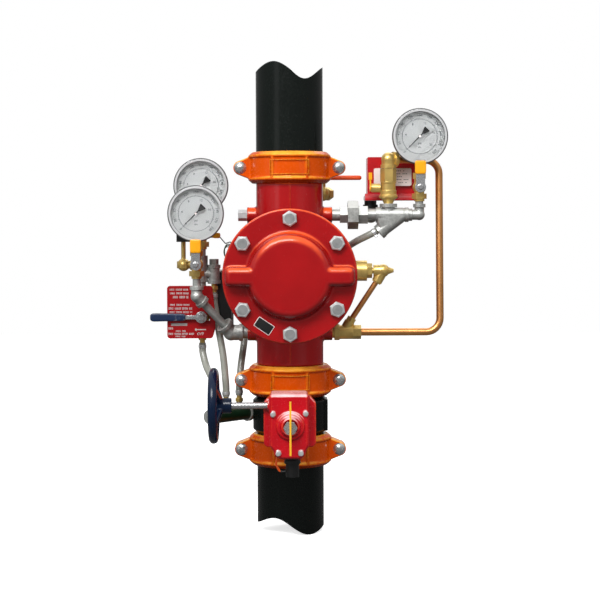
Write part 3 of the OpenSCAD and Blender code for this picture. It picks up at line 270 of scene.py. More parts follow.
def edge_group():
    """Rounded normals at edges, a broken mask of those edges, partly wear and partly a painted
    highlight that is stronger on upper ones where the light falls, and masks for a painted highlight
    on shoulders that face the key lamp and on tops, and for painted shade on undersides."""
    name = "edge_light"
    if name in bpy.data.node_groups:
        return bpy.data.node_groups[name]
    tree, given, made = new_group(name, {"Radius": 0.001, "Break Scale": 120},
                                  ("Edge", "Shoulder", "Top", "Under", "Normal"))
    rounded = add_node(tree, "ShaderNodeBevel", {"Radius": given["Radius"]}, samples=4).outputs["Normal"]
    surface = add_node(tree, "ShaderNodeNewGeometry").outputs
    turn = add_node(tree, "ShaderNodeVectorMath", {0: rounded, 1: surface["Normal"]},
                    operation="DOT_PRODUCT").outputs["Value"]
    edge = sum_node(tree, "MAXIMUM", spread(tree, turn, 0.998, 0.86),
                    spread(tree, surface["Pointiness"], 0.504, 0.53))
    way = add_node(tree, "ShaderNodeSeparateXYZ", {0: rounded}).outputs
    worn = sum_node(tree, "MULTIPLY", edge,
                    spread(tree, noise(tree, given["Break Scale"], 4), 0.35, 0.6))
    # How far a face turns toward the key lamp, up and in front: the mask of a painted highlight on
    # shoulders
    facing = sum_node(tree, "MULTIPLY_ADD", way["Z"], 0.66, sum_node(tree, "MULTIPLY", way["Y"], -0.75))
    feed(tree, made, {
        # Edges count more on upper ones, where the light falls: a painted highlight over the wear. Top
        # masks a painted highlight on upward faces, Under masks painted shade on downward ones
        "Edge": sum_node(tree, "MULTIPLY", worn, spread(tree, way["Z"], -0.3, 0.6, 0.12, 1.0)),
        "Shoulder": spread(tree, facing, 0.79, 0.95),
        "Top": spread(tree, way["Z"], 0.75, 0.95),
        "Under": spread(tree, way["Z"], -0.2, -0.75),
        "Normal": rounded})
    return tree


def grains(tree, grain, cloud):
    """The shared grain and clouds at two scales; its outputs."""
    inputs = {"Grain Scale": grain, "Cloud Scale": cloud}
    return add_node(tree, "ShaderNodeGroup", inputs, node_tree=surface_group()).outputs


def edges(tree, radius=0.8 * MM, breaks=240):
    """The shared edge light for edges of a radius; its outputs."""
    inputs = {"Radius": radius, "Break Scale": breaks}
    return add_node(tree, "ShaderNodeGroup", inputs, node_tree=edge_group()).outputs


# Materials

def uneven(tree, grain, rough, less, more):
    """A roughness that follows the grain, from somewhat less to somewhat more."""
    return spread(tree, grain, 0.3, 0.7, rough - less, rough + more)


def set_shader(tree, values):
    """Links or sets inputs of a material's Principled shader."""
    feed(tree, tree.nodes["Principled BSDF"].inputs, values)


def shade(paint, share):
    """A colour made darker or lighter by a share."""
    return tuple(min(1.0, channel * share) for channel in paint)


def enamel(tree, paint, rough, coat, cast, edge_wear_and_highlight=0.35, dark=0.72, edge_wear_and_highlight_paint=None, specular=0.5,
           reach=1.0, upper=None, shoulder=1.0, top=0.0, under=None):
    """Thick paint on a casting: soft clouds, a faint cast skin and lighter edges, partly wear and partly
    a painted highlight.

    It can take a painted highlight on shoulders and tops that face the lamps, and painted shade on
    undersides."""
    surface = grains(tree, 260, 11)
    peel = grains(tree, 91, 45)
    edge = edges(tree, sizes().edge_radius * reach, 160)
    skin = mix_colours(tree, surface["Cloud"], shade(paint, dark), paint)
    # Edges made lighter: partly worn paint, partly a painted highlight where the light catches them
    lit = mix_colours(tree, sum_node(tree, "MULTIPLY", edge["Edge"], edge_wear_and_highlight), skin,
                      edge_wear_and_highlight_paint or shade(paint, 1.6))
    # Painted highlight in the upper colour on shoulders that face the key lamp and, by the top share, on
    # tops; the peel clouds break it up
    if upper:
        facing = sum_node(tree, "MAXIMUM", sum_node(tree, "MULTIPLY", edge["Shoulder"], shoulder),
                          sum_node(tree, "MULTIPLY", edge["Top"], top))
        broken = spread(tree, peel["Cloud"], 0.0, 1.0, 0.6, 1.0)
        lit = mix_colours(tree, sum_node(tree, "MULTIPLY", facing, broken), lit, upper)
    # Painted shade in the under colour on faces turned down
    if under:
        lit = mix_colours(tree, edge["Under"], lit, under)
    height = sum_node(tree, "MULTIPLY_ADD", peel["Cloud"], 0.5, surface["Grain"])
    set_shader(tree, {
        "Base Color": lit, "Specular IOR Level": specular, "Coat Weight": coat, "Coat Roughness": 0.06,
        "Roughness": uneven(tree, surface["Grain"], rough, 0.07, 0.09),
        "Normal": bump(tree, height, 0.4 * MM, cast, Normal=edge["Normal"])})


def plated(tree, metal, rough, dark=0.6, grain=700, skin=0.12, edge_wear_and_highlight=0.2, cloud=40, metallic=0.9):
    """Machined or plated metal with a faint grain, darker in its clouds, and edges made lighter, partly
    wear and partly a painted highlight.
    """
    surface = grains(tree, grain, cloud)
    edge = edges(tree, 0.6 * MM, 300)
    tone = mix_colours(tree, surface["Cloud"], shade(metal, dark), metal)
    # Lighter edges: partly wear, partly a painted highlight
    worn = sum_node(tree, "MULTIPLY", edge["Edge"], edge_wear_and_highlight)
    set_shader(tree, {
        "Base Color": mix_colours(tree, worn, tone, shade(metal, 1.4)), "Metallic": metallic,
        "Roughness": uneven(tree, surface["Grain"], rough, 0.03, 0.05),
        "Normal": bump(tree, surface["Grain"], 0.3 * MM, skin, Normal=edge["Normal"])})


def hot_dip(tree, metal):
    """Galvanised iron: dull zinc crystals of uneven tone, with a painted highlight on shoulders that face
    the key lamp and painted shade beneath.
    """
    surface = grains(tree, 420, 60)
    edge = edges(tree, 0.9 * MM)
    inputs = {"Scale": 280, "Vector": object_place(tree)}
    crystals = add_node(tree, "ShaderNodeTexVoronoi", inputs).outputs["Distance"]
    tone = sum_node(tree, "MULTIPLY", surface["Cloud"], crystals)
    skin = mix_colours(tree, spread(tree, tone, 0.0, 0.45), shade(metal, 0.66), metal)
    # Painted highlight on shoulders that face the key lamp, then painted shade on the undersides
    shoulder_highlighted = mix_colours(tree, sum_node(tree, "MULTIPLY", edge["Shoulder"], 0.7), skin, shade(metal, 1.5))
    set_shader(tree, {
        "Base Color": mix_colours(tree, edge["Under"], shoulder_highlighted, shade(metal, 0.4)), "Metallic": 0.6,
        "Roughness": spread(tree, crystals, 0, 0.6, 0.34, 0.46),
        "Normal": bump(tree, surface["Grain"], 0.5 * MM, 0.3, Normal=edge["Normal"])})


def plastic(tree, tint, rough, cloudiness=0.85, glow=0.0):
    """Moulded or printed matter with faint clouds, which can glow a little in its own colour."""
    surface = grains(tree, 900, 30)
    set_shader(tree, {
        "Base Color": mix_colours(tree, surface["Cloud"], shade(tint, cloudiness), tint),
        "Roughness": rough, "Emission Color": tint, "Emission Strength": glow,
        "Normal": bump(tree, surface["Grain"], 0.2 * MM, 0.08, Normal=edges(tree)["Normal"])})


def worn_vinyl(tree, tint, beneath):
    """Dipped vinyl rubbed pale in patches."""
    patches = spread(tree, noise(tree, 95, 4, 0.6), 0.52, 0.66, 0.0, 0.5)
    set_shader(tree, {
        "Base Color": mix_colours(tree, patches, tint, beneath), "Roughness": 0.4,
        "Normal": bump(tree, patches, 0.2 * MM, 0.2, Normal=edges(tree)["Normal"])})


def tubing(tree, tint):
    """Soft translucent hose with a milky skin."""
    surface = grains(tree, 500, 34)
    tree.nodes["Principled BSDF"].inputs["Subsurface Radius"].default_value = (0.004, 0.004, 0.003)
    set_shader(tree, {
        "Base Color": mix_colours(tree, surface["Cloud"], shade(tint, 0.8), tint), "Roughness": 0.34,
        "Subsurface Weight": 0.1, "Coat Weight": 0.3,
        "Normal": bump(tree, surface["Grain"], 0.2 * MM, 0.15)})


def lens_glass(tree):
    """Clear lens, faintly smudged."""
    shadow = add_node(tree, "ShaderNodeLightPath").outputs["Is Shadow Ray"]
    set_shader(tree, {
        "Base Color": (0.97, 0.98, 0.98), "Transmission Weight": 1.0, "IOR": 1.02,
        "Roughness": spread(tree, grains(tree, 120, 20)["Cloud"], 0, 1, 0.02, 0.09),
        "Alpha": spread(tree, shadow, 0, 1, 1.0, 0.78)})


def floor_paint(tree):
    """A pale floor, white to the camera but for shadow and dark to every other ray."""
    seen = add_node(tree, "ShaderNodeLightPath").outputs["Is Camera Ray"]
    tone = mix_colours(tree, grains(tree, 60, 1)["Cloud"], (0.9, 0.9, 0.9), (0.93, 0.93, 0.93))
    set_shader(tree, {
        "Base Color": mix_colours(tree, seen, (0.14, 0.14, 0.14), tone), "Roughness": 0.9,
        "Specular IOR Level": 0.1, "Emission Color": (1, 1, 1),
        "Emission Strength": sum_node(tree, "MULTIPLY", seen, 0.68)})


FINISHES = {
    # Red enamel: orange painted highlights on edges and shoulders, painted shade on undersides
    "red_enamel": lambda tree, tint: enamel(
        tree, tint.red, rough=0.19, coat=0.3, cast=0.14, edge_wear_and_highlight=0.6, edge_wear_and_highlight_paint=tint.glow, specular=0.32,
        reach=2.8, dark=0.74, upper=tint.shoulder, under=shade(tint.red, 0.4)),
    # Gearbox red: painted highlight on edges, a pale painted highlight on tops, painted shade on
    # undersides
    "gearbox_red": lambda tree, tint: enamel(
        tree, tint.crimson, rough=0.22, coat=0.25, cast=0.12, edge_wear_and_highlight=0.8, edge_wear_and_highlight_paint=shade(tint.glow, 0.9),
        specular=0.35, reach=1.6, upper=tint.pink, top=1.0, under=shade(tint.crimson, 0.5)),
    # Switch red: a pale painted highlight on its tops and a little on its shoulders
    "switch_red": lambda tree, tint: enamel(
        tree, tint.switch_red, rough=0.34, coat=0.2, cast=0.12, dark=0.9, specular=0.3,
        upper=shade(tint.pink, 0.5), shoulder=0.2, top=0.75),
    "plate_red": lambda tree, tint: enamel(
        tree, tint.plate_red, rough=0.4, coat=0.1, cast=0.06, dark=0.85, specular=0.25),
    # Coupling orange: yellow painted highlight on edges, pale painted highlight on shoulders and tops,
    # painted shade on undersides
    "orange_enamel": lambda tree, tint: enamel(
        tree, tint.orange, rough=0.24, coat=0.08, cast=0.16, dark=0.74, edge_wear_and_highlight=0.8, edge_wear_and_highlight_paint=tint.yellow,
        specular=0.16, reach=2.0, upper=tint.pale_orange, top=0.7, under=tint.dark_orange),
    "lever_red": lambda tree, tint: enamel(
        tree, tint.glow, rough=0.32, coat=0.2, cast=0.05, dark=0.6, specular=0.3),
    "black_enamel": lambda tree, tint: enamel(
        tree, tint.black, rough=0.24, coat=0.0, cast=0.1, edge_wear_and_highlight=0.3, dark=0.6, specular=0.22),
    # A lighter copy of the pipe black for the upper pipe: painted light, as it is lit from above
    "upper_pipe_lit_enamel": lambda tree, tint: enamel(
        tree, shade(tint.black, 1.6), rough=0.2, coat=0.0, cast=0.1, dark=0.7, specular=0.3),
    "drain_enamel": lambda tree, tint: enamel(
        tree, tint.green_black, rough=0.34, coat=0.0, cast=0.2, edge_wear_and_highlight=0.4, dark=0.6, specular=0.25),
    "blue_enamel": lambda tree, tint: enamel(
        tree, tint.navy, rough=0.2, coat=0.1, cast=0.05, dark=0.7, specular=0.3),
    "yellow_enamel": lambda tree, tint: enamel(
        tree, tint.yellow, rough=0.35, coat=0.2, cast=0.1, dark=0.9),
    "worn_blue": lambda tree, tint: worn_vinyl(tree, tint.lever_blue, shade(tint.label, 0.5)),
    "yellow_plastic": lambda tree, tint: plastic(tree, tint.amber, 0.32, cloudiness=0.92),
    "black_plastic": lambda tree, tint: plastic(tree, tint.moulding, 0.4),
    "green_lead": lambda tree, tint: plastic(tree, shade(tint.green_black, 2), 0.4),
    "orange_wire": lambda tree, tint: plastic(tree, tint.orange, 0.4),
    "rubber": lambda tree, tint: plastic(tree, tint.rubber, 0.6),
    # The dial glows a little in its own colour: painted light that evens out the shade the case's rim
    # casts on it
    "dial_white": lambda tree, tint: plastic(tree, tint.dial, 0.5, cloudiness=0.97, glow=0.1),
    "pointer_black": lambda tree, tint: plastic(tree, tint.moulding, 0.45),
    "dial_print": lambda tree, tint: plastic(tree, tint.print, 0.6),
    "bare_label": lambda tree, tint: plastic(tree, tint.label, 0.5, cloudiness=0.9),
    "plate_print": lambda tree, tint: plastic(tree, shade(tint.label, 0.72), 0.5, cloudiness=0.75),
    "dim_label": lambda tree, tint: plastic(tree, shade(tint.label, 0.42), 0.5, cloudiness=0.8),
    "brass": lambda tree, tint: plated(tree, tint.brass, 0.3, dark=0.72, skin=0.06, metallic=0.7),
    "bronze": lambda tree, tint: plated(tree, tint.bronze, 0.36, dark=0.7),
    "copper": lambda tree, tint: plated(tree, tint.copper, 0.34, dark=0.82, skin=0.01, edge_wear_and_highlight=0.0),
    "zinc": lambda tree, tint: plated(tree, tint.zinc, 0.36, dark=0.78, cloud=90, metallic=0.6),
    # A darker copy of zinc for the flat tops of the cover bolts: painted shade
    "zinc_shaded_top": lambda tree, tint: plated(
        tree, shade(tint.zinc, 0.5), 0.4, dark=0.7, cloud=90, metallic=0.5),
    "zinc_bright": lambda tree, tint: plated(
        tree, tint.zinc, 0.24, dark=0.6, cloud=130, grain=260, skin=0.6, metallic=0.85),
    "steel": lambda tree, tint: plated(
        tree, shade(tint.steel, 0.8), 0.27, dark=0.9, skin=0.015, metallic=0.8),
    # Gauge cases: sides in a dark copy of the steel, painted shade; fronts in a lighter, less metallic
    # copy, a painted reflection
    "case_side_shade": lambda tree, tint: plated(tree, shade(tint.steel, 0.2), 0.4, metallic=0.3),
    "gauge_steel": lambda tree, tint: plated(
        tree, shade(tint.steel, 1.15), 0.2, dark=0.92, skin=0.03, metallic=0.45),
    "nickel_iron": lambda tree, tint: plated(tree, shade(tint.steel, 0.6), 0.45, skin=0.3),
    "galvanised": lambda tree, tint: hot_dip(tree, tint.galvanised),
    "hose": lambda tree, tint: tubing(tree, tint.hose),
    "gauge_glass": lambda tree, tint: lens_glass(tree),
    "pale_floor": lambda tree, tint: floor_paint(tree),
}


def finish(name):
    """The material of one finish, made at its first use."""
    if FINISH + name not in bpy.data.materials:
        material = bpy.data.materials.new(FINISH + name)
        material.use_nodes = True
        FINISHES[name](material.node_tree, colours())
    return bpy.data.materials[FINISH + name]


# Pieces

def new_object(name, made, angle):
    """An object at the origin from a bmesh, kept sharp where faces meet at more than the angle."""
    mesh = bpy.data.meshes.new(name)
    made.to_mesh(mesh)
    made.free()
    if "custom_normal" in mesh.attributes:
        mesh.attributes.remove(mesh.attributes["custom_normal"])
    mesh.polygons.foreach_set("use_smooth", [True] * len(mesh.polygons))
    mesh.set_sharp_from_angle(angle=math.radians(angle))
    piece = bpy.data.objects.new(name, mesh)
    bpy.context.scene.collection.objects.link(piece)
    return piece


def dress(piece, material, body):
    """Gives a piece its material and the body that it rides on."""
    piece.data.materials.append(finish(material))
    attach(piece, body)
    return piece


def add_piece(name, made, material, body):
    """A piece from a bmesh, merged and with its faces turned outward."""
    bmesh.ops.remove_doubles(made, verts=made.verts, dist=1e-6)
    bmesh.ops.recalc_face_normals(made, faces=made.faces)
    return dress(new_object(name, made, 35), material, body)


def smooth_copy(node, material, others=()):
    """A merged copy of a node's mesh, smooth between its sharp edges, which stands for it."""
    made = bmesh.new()
    made.from_mesh(NODES[node].data)
    bmesh.ops.remove_doubles(made, verts=made.verts, dist=1e-6)
    piece = new_object(node + "_finish", made, 32)
    piece.data.materials.clear()
    dress(piece, material, body_of(node))
    paint_faces(piece, others)
    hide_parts(node)
    return piece


def stand_for(node, made, material, others=()):
    """A piece from a bmesh that takes the place of a node."""
    piece = add_piece(node + "_finish", made, material, body_of(node))
    paint_faces(piece, others)
    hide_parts(node)


def paint_faces(piece, others):
    """Gives further finishes, each to the faces whose middle and direction pass its test."""
    mesh = piece.data
    for other, test in others:
        mesh.materials.append(finish(other))
        for face in mesh.polygons:
            if test(face.center, face.normal):
                face.material_index = len(mesh.materials) - 1


def soften(piece, voxel, rounds, more=0, inside=None):
    """Rounds a casting's edges and corners, as moulding sand does.

    Where a test of a point holds, the surface is rounded more."""
    remesh = piece.modifiers.new("remesh", "REMESH")
    remesh.mode = "VOXEL"
    remesh.voxel_size = voxel
    relax(piece, rounds)
    keep_result(piece)
    if more:
        area = piece.vertex_groups.new(name="rounder")
        area.add([corner.index for corner in piece.data.vertices if inside(corner.co)], 1, "REPLACE")
        relax(piece, more).vertex_group = area.name
        keep_result(piece)
        piece.vertex_groups.clear()
    piece.data.polygons.foreach_set("use_smooth", [True] * len(piece.data.polygons))
    return piece


def relax(piece, rounds):
    smooth = piece.modifiers.new("relax", "SMOOTH")
    smooth.factor = 0.5
    smooth.iterations = rounds
    return smooth


def keep_result(piece):
    """Makes what the modifiers give the piece's own mesh."""
    scene_graph = bpy.context.evaluated_depsgraph_get()
    mesh = bpy.data.meshes.new_from_object(piece.evaluated_get(scene_graph))
    piece.modifiers.clear()
    mesh.name = piece.name
    piece.data = mesh


# Shapes

def at_mm(*place):
    """A place given in millimetres."""
    return Matrix.Translation(Vector(place) * MM)


def aim_at(point, way):
    """A place whose Z runs along a direction."""
    return Matrix.Translation(point) @ Vector(way).to_track_quat("Z", "Y").to_matrix().to_4x4()


def turned(degrees):
    return Matrix.Rotation(math.radians(degrees), 4, "Z")


def move(made, place):
    bmesh.ops.transform(made, verts=made.verts, matrix=place)


def of_kind(items, kind):
    return [item for item in items if isinstance(item, kind)]


def once(items):
    """The items in their order, each once."""
    return list(dict.fromkeys(items))


def flat_grid(width, height, across=1, up=1):
    """A flat grid about the origin, cut into steps both ways."""
    made = bmesh.new()
    bmesh.ops.create_grid(made, x_segments=across, y_segments=up, size=0.5)
    bmesh.ops.scale(made, vec=(width, height, 1), verts=made.verts)
    return made


def thicken(made, faces, thick):
    """Extrudes flat faces upward; their raised copies."""
    grown = bmesh.ops.extrude_face_region(made, geom=faces)["geom"]
    bmesh.ops.translate(made, verts=of_kind(grown, bmesh.types.BMVert), vec=(0, 0, thick))
    return of_kind(grown, bmesh.types.BMFace)


def rounded_plate(width, height, corner, thick, border=0.0, lift=0.0):
    """A flat plate lying about the origin, its upper face inset by the border."""
    made = flat_grid(width, height)
    bmesh.ops.bevel(made, geom=list(made.verts), offset=corner, segments=4, profile=0.5,
                    affect="VERTICES", material=-1)
    inner = thicken(made, list(made.faces), thick)
    if border:
        bmesh.ops.inset_region(made, faces=inner, thickness=border)
        raised = once(point for face in inner for point in face.verts)
        bmesh.ops.translate(made, verts=raised, vec=(0, 0, lift))
        for face in inner:
            face.material_index = 1
    return made


def plate_frame(width, height, line, thick, steps):
    """A thin raised frame about the origin, cut into steps along its width."""
    made = flat_grid(width, height, steps, 3)
    inner = list(made.faces)
    bmesh.ops.inset_region(made, faces=inner, thickness=line, use_boundary=True, use_even_offset=True)
    bmesh.ops.delete(made, geom=inner, context="FACES")
    thicken(made, list(made.faces), thick)
    return made


def wrap_round(made, radius):
    """Bends a flat mesh round an upright cylinder, to its front."""
    for corner in made.verts:
        across, up, out = corner.co
        turn = across / radius
        corner.co = ((radius + out) * math.sin(turn), -(radius + out) * math.cos(turn), up)


def add_ring(made, inner, outer, low, high, place=Matrix(), steps=64):
    """Spins a rectangular section round Z, and moves the ring to its place."""
    start = bmesh.ops.create_grid(made, x_segments=1, y_segments=1, size=0.5)["verts"]
    rim = once(edge for corner in start for edge in corner.link_edges)
    bmesh.ops.delete(made, geom=once(face for edge in rim for face in edge.link_faces),
                     context="FACES_ONLY")
    bmesh.ops.rotate(made, verts=start, matrix=TO_FRONT.to_3x3())
    bmesh.ops.scale(made, verts=start, vec=(outer - inner, 1, high - low))
    bmesh.ops.translate(made, verts=start, vec=((inner + outer) / 2, 0, (low + high) / 2))
    before = set(made.verts) - set(start)
    bmesh.ops.spin(made, geom=start + rim, angle=math.tau, steps=steps, axis=(0, 0, 1),
                   use_merge=True)
    bmesh.ops.transform(made, matrix=place, verts=[v for v in made.verts if v not in before])


def add_block(made, size, place):
    """A small block with bevelled edges, moved to its place."""
    new = bmesh.ops.create_cube(made, size=1, matrix=place @ Matrix.Diagonal((*size, 1)))["verts"]
    sides = once(edge for corner in new for edge in corner.link_edges)
    bmesh.ops.bevel(made, geom=sides, offset=min(size) * 0.2, segments=1, profile=0.5,
                    affect="EDGES", material=-1)


def add_rod(made, place, depth, radius, end=None, segments=40):
    """A capped rod about its place, along Z, which can taper to another radius; in millimetres."""
    bmesh.ops.create_cone(made, cap_ends=True, segments=segments, radius1=radius * MM,
                          radius2=(radius if end is None else end) * MM, depth=depth * MM, matrix=place)


def add_text(made, words, size, thick, place):
    """Plain raised figures or words, centred on their place."""
    curve = bpy.data.curves.new("figure", "FONT")
    curve.body = words
    curve.size = size
    curve.align_x = "CENTER"
    curve.align_y = "CENTER"
    curve.extrude = thick / 2
    curve.offset = size * 0.018
    curve.resolution_u = 2
    holder = bpy.data.objects.new("figure", curve)
    mesh = bpy.data.meshes.new_from_object(holder)
    mesh.transform(place)
    made.from_mesh(mesh)
    bpy.data.objects.remove(holder)
    bpy.data.curves.remove(curve)
    bpy.data.meshes.remove(mesh)


# Operators

class RiserOperator:
    bl_options = {"REGISTER", "UNDO"}


class RISER_OT_stage(RiserOperator, bpy.types.Operator):
    """Makes the studio: floor, world, lamps and camera"""

    bl_idname = "riser.stage"
    bl_label = "Stage"

    # The camera's place in metres, its lens in millimetres and its turns in degrees
    camera_place = (0, -2.6, 0.4726)
    camera_lens = 91.0
    camera_turns = ((-0.38, "Z"), (90 - 2.98, "X"), (-0.2, "Z"))
    # What the lamps point at, and the name, place and size in metres, and watts of each
    aim = Vector((0, 0, 0.36))
    lamps = (("key", (-0.7, -2.2, 2.3), 1.9, 92), ("fill", (1.7, -1.9, 0.4), 1.4, 14),
             ("side", (-1.9, -1.2, 0.7), 1.3, 12), ("rim", (0.4, 1.5, 1.9), 1.3, 9))

    def execute(self, context):
        scene = context.scene
        scene.view_settings.view_transform = "Standard"
        self.make_camera(scene)
        self.make_world(scene)
        self.make_floor()
        self.make_lamps(scene)
        return {"FINISHED"}

    def make_camera(self, scene):
        """The photograph's view: level of the upper boss, looking slightly down."""
        eye = bpy.data.objects.new("camera", bpy.data.cameras.new("camera"))
        eye.data.sensor_width = 36
        eye.data.lens = self.camera_lens
        place = Matrix.Translation(self.camera_place)
        for degrees, axis in self.camera_turns:
            place = place @ Matrix.Rotation(math.radians(degrees), 4, axis)
        eye.matrix_world = place
        scene.collection.objects.link(eye)
        scene.camera = eye

    def make_world(self, scene):
        """White behind the object, a darker room in front with one tall window, brighter overhead."""
        world = bpy.data.worlds.new("studio")
        scene.world = world
        world.use_nodes = True
        tree = world.node_tree
        tree.nodes.clear()
        path = add_node(tree, "ShaderNodeLightPath").outputs
        direction = add_node(tree, "ShaderNodeTexCoord").outputs["Generated"]
        way = add_node(tree, "ShaderNodeSeparateXYZ", {0: direction}).outputs
        behind = spread(tree, way["Y"], 0.86, 1.0)
        overhead = spread(tree, way["Z"], 0.0, 0.8, 0.16, 0.85)
        window = sum_node(tree, "MULTIPLY", sum_node(tree, "COMPARE", way["X"], -0.68, 0.1),
                          spread(tree, way["Y"], -0.3, -0.6, 0.0, 0.75))
        room = sum_node(tree, "MAXIMUM", sum_node(tree, "MAXIMUM", behind, overhead), window)
        ambient = spread(tree, way["Z"], -0.6, 0.9, 0.26, 0.52)
        soft, glossy, white = (
            add_node(tree, "ShaderNodeBackground", {"Color": (1, 1, 1), "Strength": strength}).outputs[0]
            for strength in (ambient, room, 1.0))
        straight = sum_node(tree, "MAXIMUM", path["Is Camera Ray"], path["Is Transmission Ray"])
        indirect = add_node(tree, "ShaderNodeMixShader", {0: path["Is Glossy Ray"], 1: soft, 2: glossy})
        seen = add_node(tree, "ShaderNodeMixShader", {0: straight, 1: indirect.outputs[0], 2: white})
        add_node(tree, "ShaderNodeOutputWorld", {0: seen.outputs[0]})

    def make_floor(self):
        """A pale floor just under the lower end of the riser."""
        side = sizes().floor_size
        made = flat_grid(side, side, 2, 2)
        move(made, Matrix.Translation((0, 0, CAD_BOX[0][2] - 0.5 * MM)))
        floor = new_object("floor", made, 35)
        floor.data.materials.append(finish("pale_floor"))

    def make_lamps(self, scene):
        """A soft key high in front, a fill from each side and a rim from behind."""
        for name, place, size, power in self.lamps:
            lamp = bpy.data.objects.new(name, bpy.data.lights.new(name, "AREA"))
            lamp.data.shape = "RECTANGLE"
            lamp.data.size = size
            lamp.data.size_y = size * 0.6
            lamp.data.energy = power
            lamp.location = place
            lamp.visible_glossy = name in ("key", "rim")
            lamp.rotation_euler = (self.aim - Vector(place)).to_track_quat("-Z", "Y").to_euler()
            scene.collection.objects.link(lamp)


class RISER_OT_hoses(RiserOperator, bpy.types.Operator):
    """Makes the three soft drain hoses along their routes"""

    bl_idname = "riser.hoses"
    bl_label = "Drain hoses"

    # Points of each route, in millimetres, as the solids have them
    routes = {
        "station_drain_hose": [
            (-153, 42, 261), (-153, 42, 252), (-152, 40, 242), (-146, 28, 222),
            (-137, 8, 206), (-130, -5, 194), (-129, -7, 185), (-129, -7, 177), (-129, -7, 170)],
        "release_drain_hose": [
            (-132, 42, 349), (-132, 42, 340), (-131, 41, 328), (-125, 33, 290),
            (-116, 20, 240), (-112, 12, 200), (-111, 11, 186), (-111, 11, 178), (-111, 11, 170)],
        "alarm_drain_hose": [
            (149.7, 0, 455.5), (141.7, 0, 451.3), (131, 3, 446), (116, 18, 438), (102, 60, 428),
            (74, 98, 410), (0, 112, 372), (-64, 105, 330), (-78, 84, 296), (-81, 62, 260),
            (-86, 46, 222), (-88, 38, 198), (-89, 34, 184), (-89, 33, 177), (-89, 33, 170)],
    }
    steps = 4

    def execute(self, context):
        for node, points in self.routes.items():
            line = self.smooth_line([Vector(point) * MM for point in points])
            curve = bpy.data.curves.new(node + "_tube", "CURVE")
            curve.dimensions = "3D"
            curve.bevel_depth = sizes().hose_diameter / 2
            curve.bevel_resolution = 6
            curve.use_fill_caps = True
            curve.resolution_u = 1
            spline = curve.splines.new("POLY")
            spline.points.add(len(line) - 1)
            for point, place in zip(spline.points, line):
                point.co = (*place, 1)
            spline.use_smooth = True
            tube = bpy.data.objects.new(node + "_tube", curve)
            context.scene.collection.objects.link(tube)
            dress(tube, "hose", body_of(node))
            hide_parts(node)
        return {"FINISHED"}

    def smooth_line(self, points):
        """A curve through all the points, with a few steps in each stretch."""
        line = [points[0]]
        last = len(points) - 1
        for i in range(last):
            before, here = points[max(i - 1, 0)], points[i]
            there, after = points[i + 1], points[min(i + 2, last)]
            for step in range(1, self.steps + 1):
                t = step / self.steps
                line.append(0.5 * (2 * here + (there - before) * t
                            + (2 * before - 5 * here + 4 * there - after) * t ** 2
                            + (3 * here - before - 3 * there + after) * t ** 3))
        return line


class RISER_OT_castings(RiserOperator, bpy.types.Operator):
    """Gives the painted castings their rounded edges, seams and enamel"""

    bl_idname = "riser.castings"
    bl_label = "Castings"

    # Finish of each casting, its step as a share of the usual one, and rounds of smoothing
    castings = {
        "valve_body": ("red_enamel", 1.0, 4), "coupling_front_halves": ("orange_enamel", 0.8, 3),
        "coupling_rear_halves": ("orange_enamel", 0.8, 3), "butterfly_body": ("black_enamel", 0.8, 3),
        "gear_housing": ("gearbox_red", 0.7, 3), "handwheel": ("blue_enamel", 0.6, 3),
    }
    # Lower and upper end of each seam, and middle of each pad, in millimetres up the riser
    seams = {"upper_seam": (470, 532), "lower_seam": (232, 290)}
    pads = {"upper_pad_frame": 563.2, "middle_pad_frame": 201.2}

    def execute(self, context):
        step = sizes().cast_voxel
        for node, (material, share, rounds) in self.castings.items():
            soften(smooth_copy(node, material), step * share, rounds)
        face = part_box("cover_gasket")[0].y - COVER_THICKNESS
        soften(smooth_copy("valve_cover", "red_enamel"), step * 0.8, 3, 40,
               lambda at: at.y < face - 1.5 * MM)
        for name, (low, high) in self.seams.items():
            seam = rounded_plate(1.3 * MM, (high - low) * MM, 0.5 * MM, 1.1 * MM)
            self.lay_on(name, seam, 0.5, NECK_RADIUS, at_mm(1.2, 0, (low + high) / 2), "red_enamel")
        for name, height in self.pads.items():
            pad = plate_frame(68 * MM, 25 * MM, 1.3 * MM, 1.3 * MM, 28)
            self.lay_on(name, pad, 0.6, COUPLING_RADIUS, at_mm(0, 0, height), "orange_enamel")
        return {"FINISHED"}

    def lay_on(self, name, flat, sunk, radius, place, material):
        """A flat mesh bent round the riser's front, sunk by some millimetres in what it lies on."""
        move(flat, at_mm(0, 0, -sunk))
        wrap_round(flat, radius)
        move(flat, place)
        add_piece(name, flat, material, "riser")


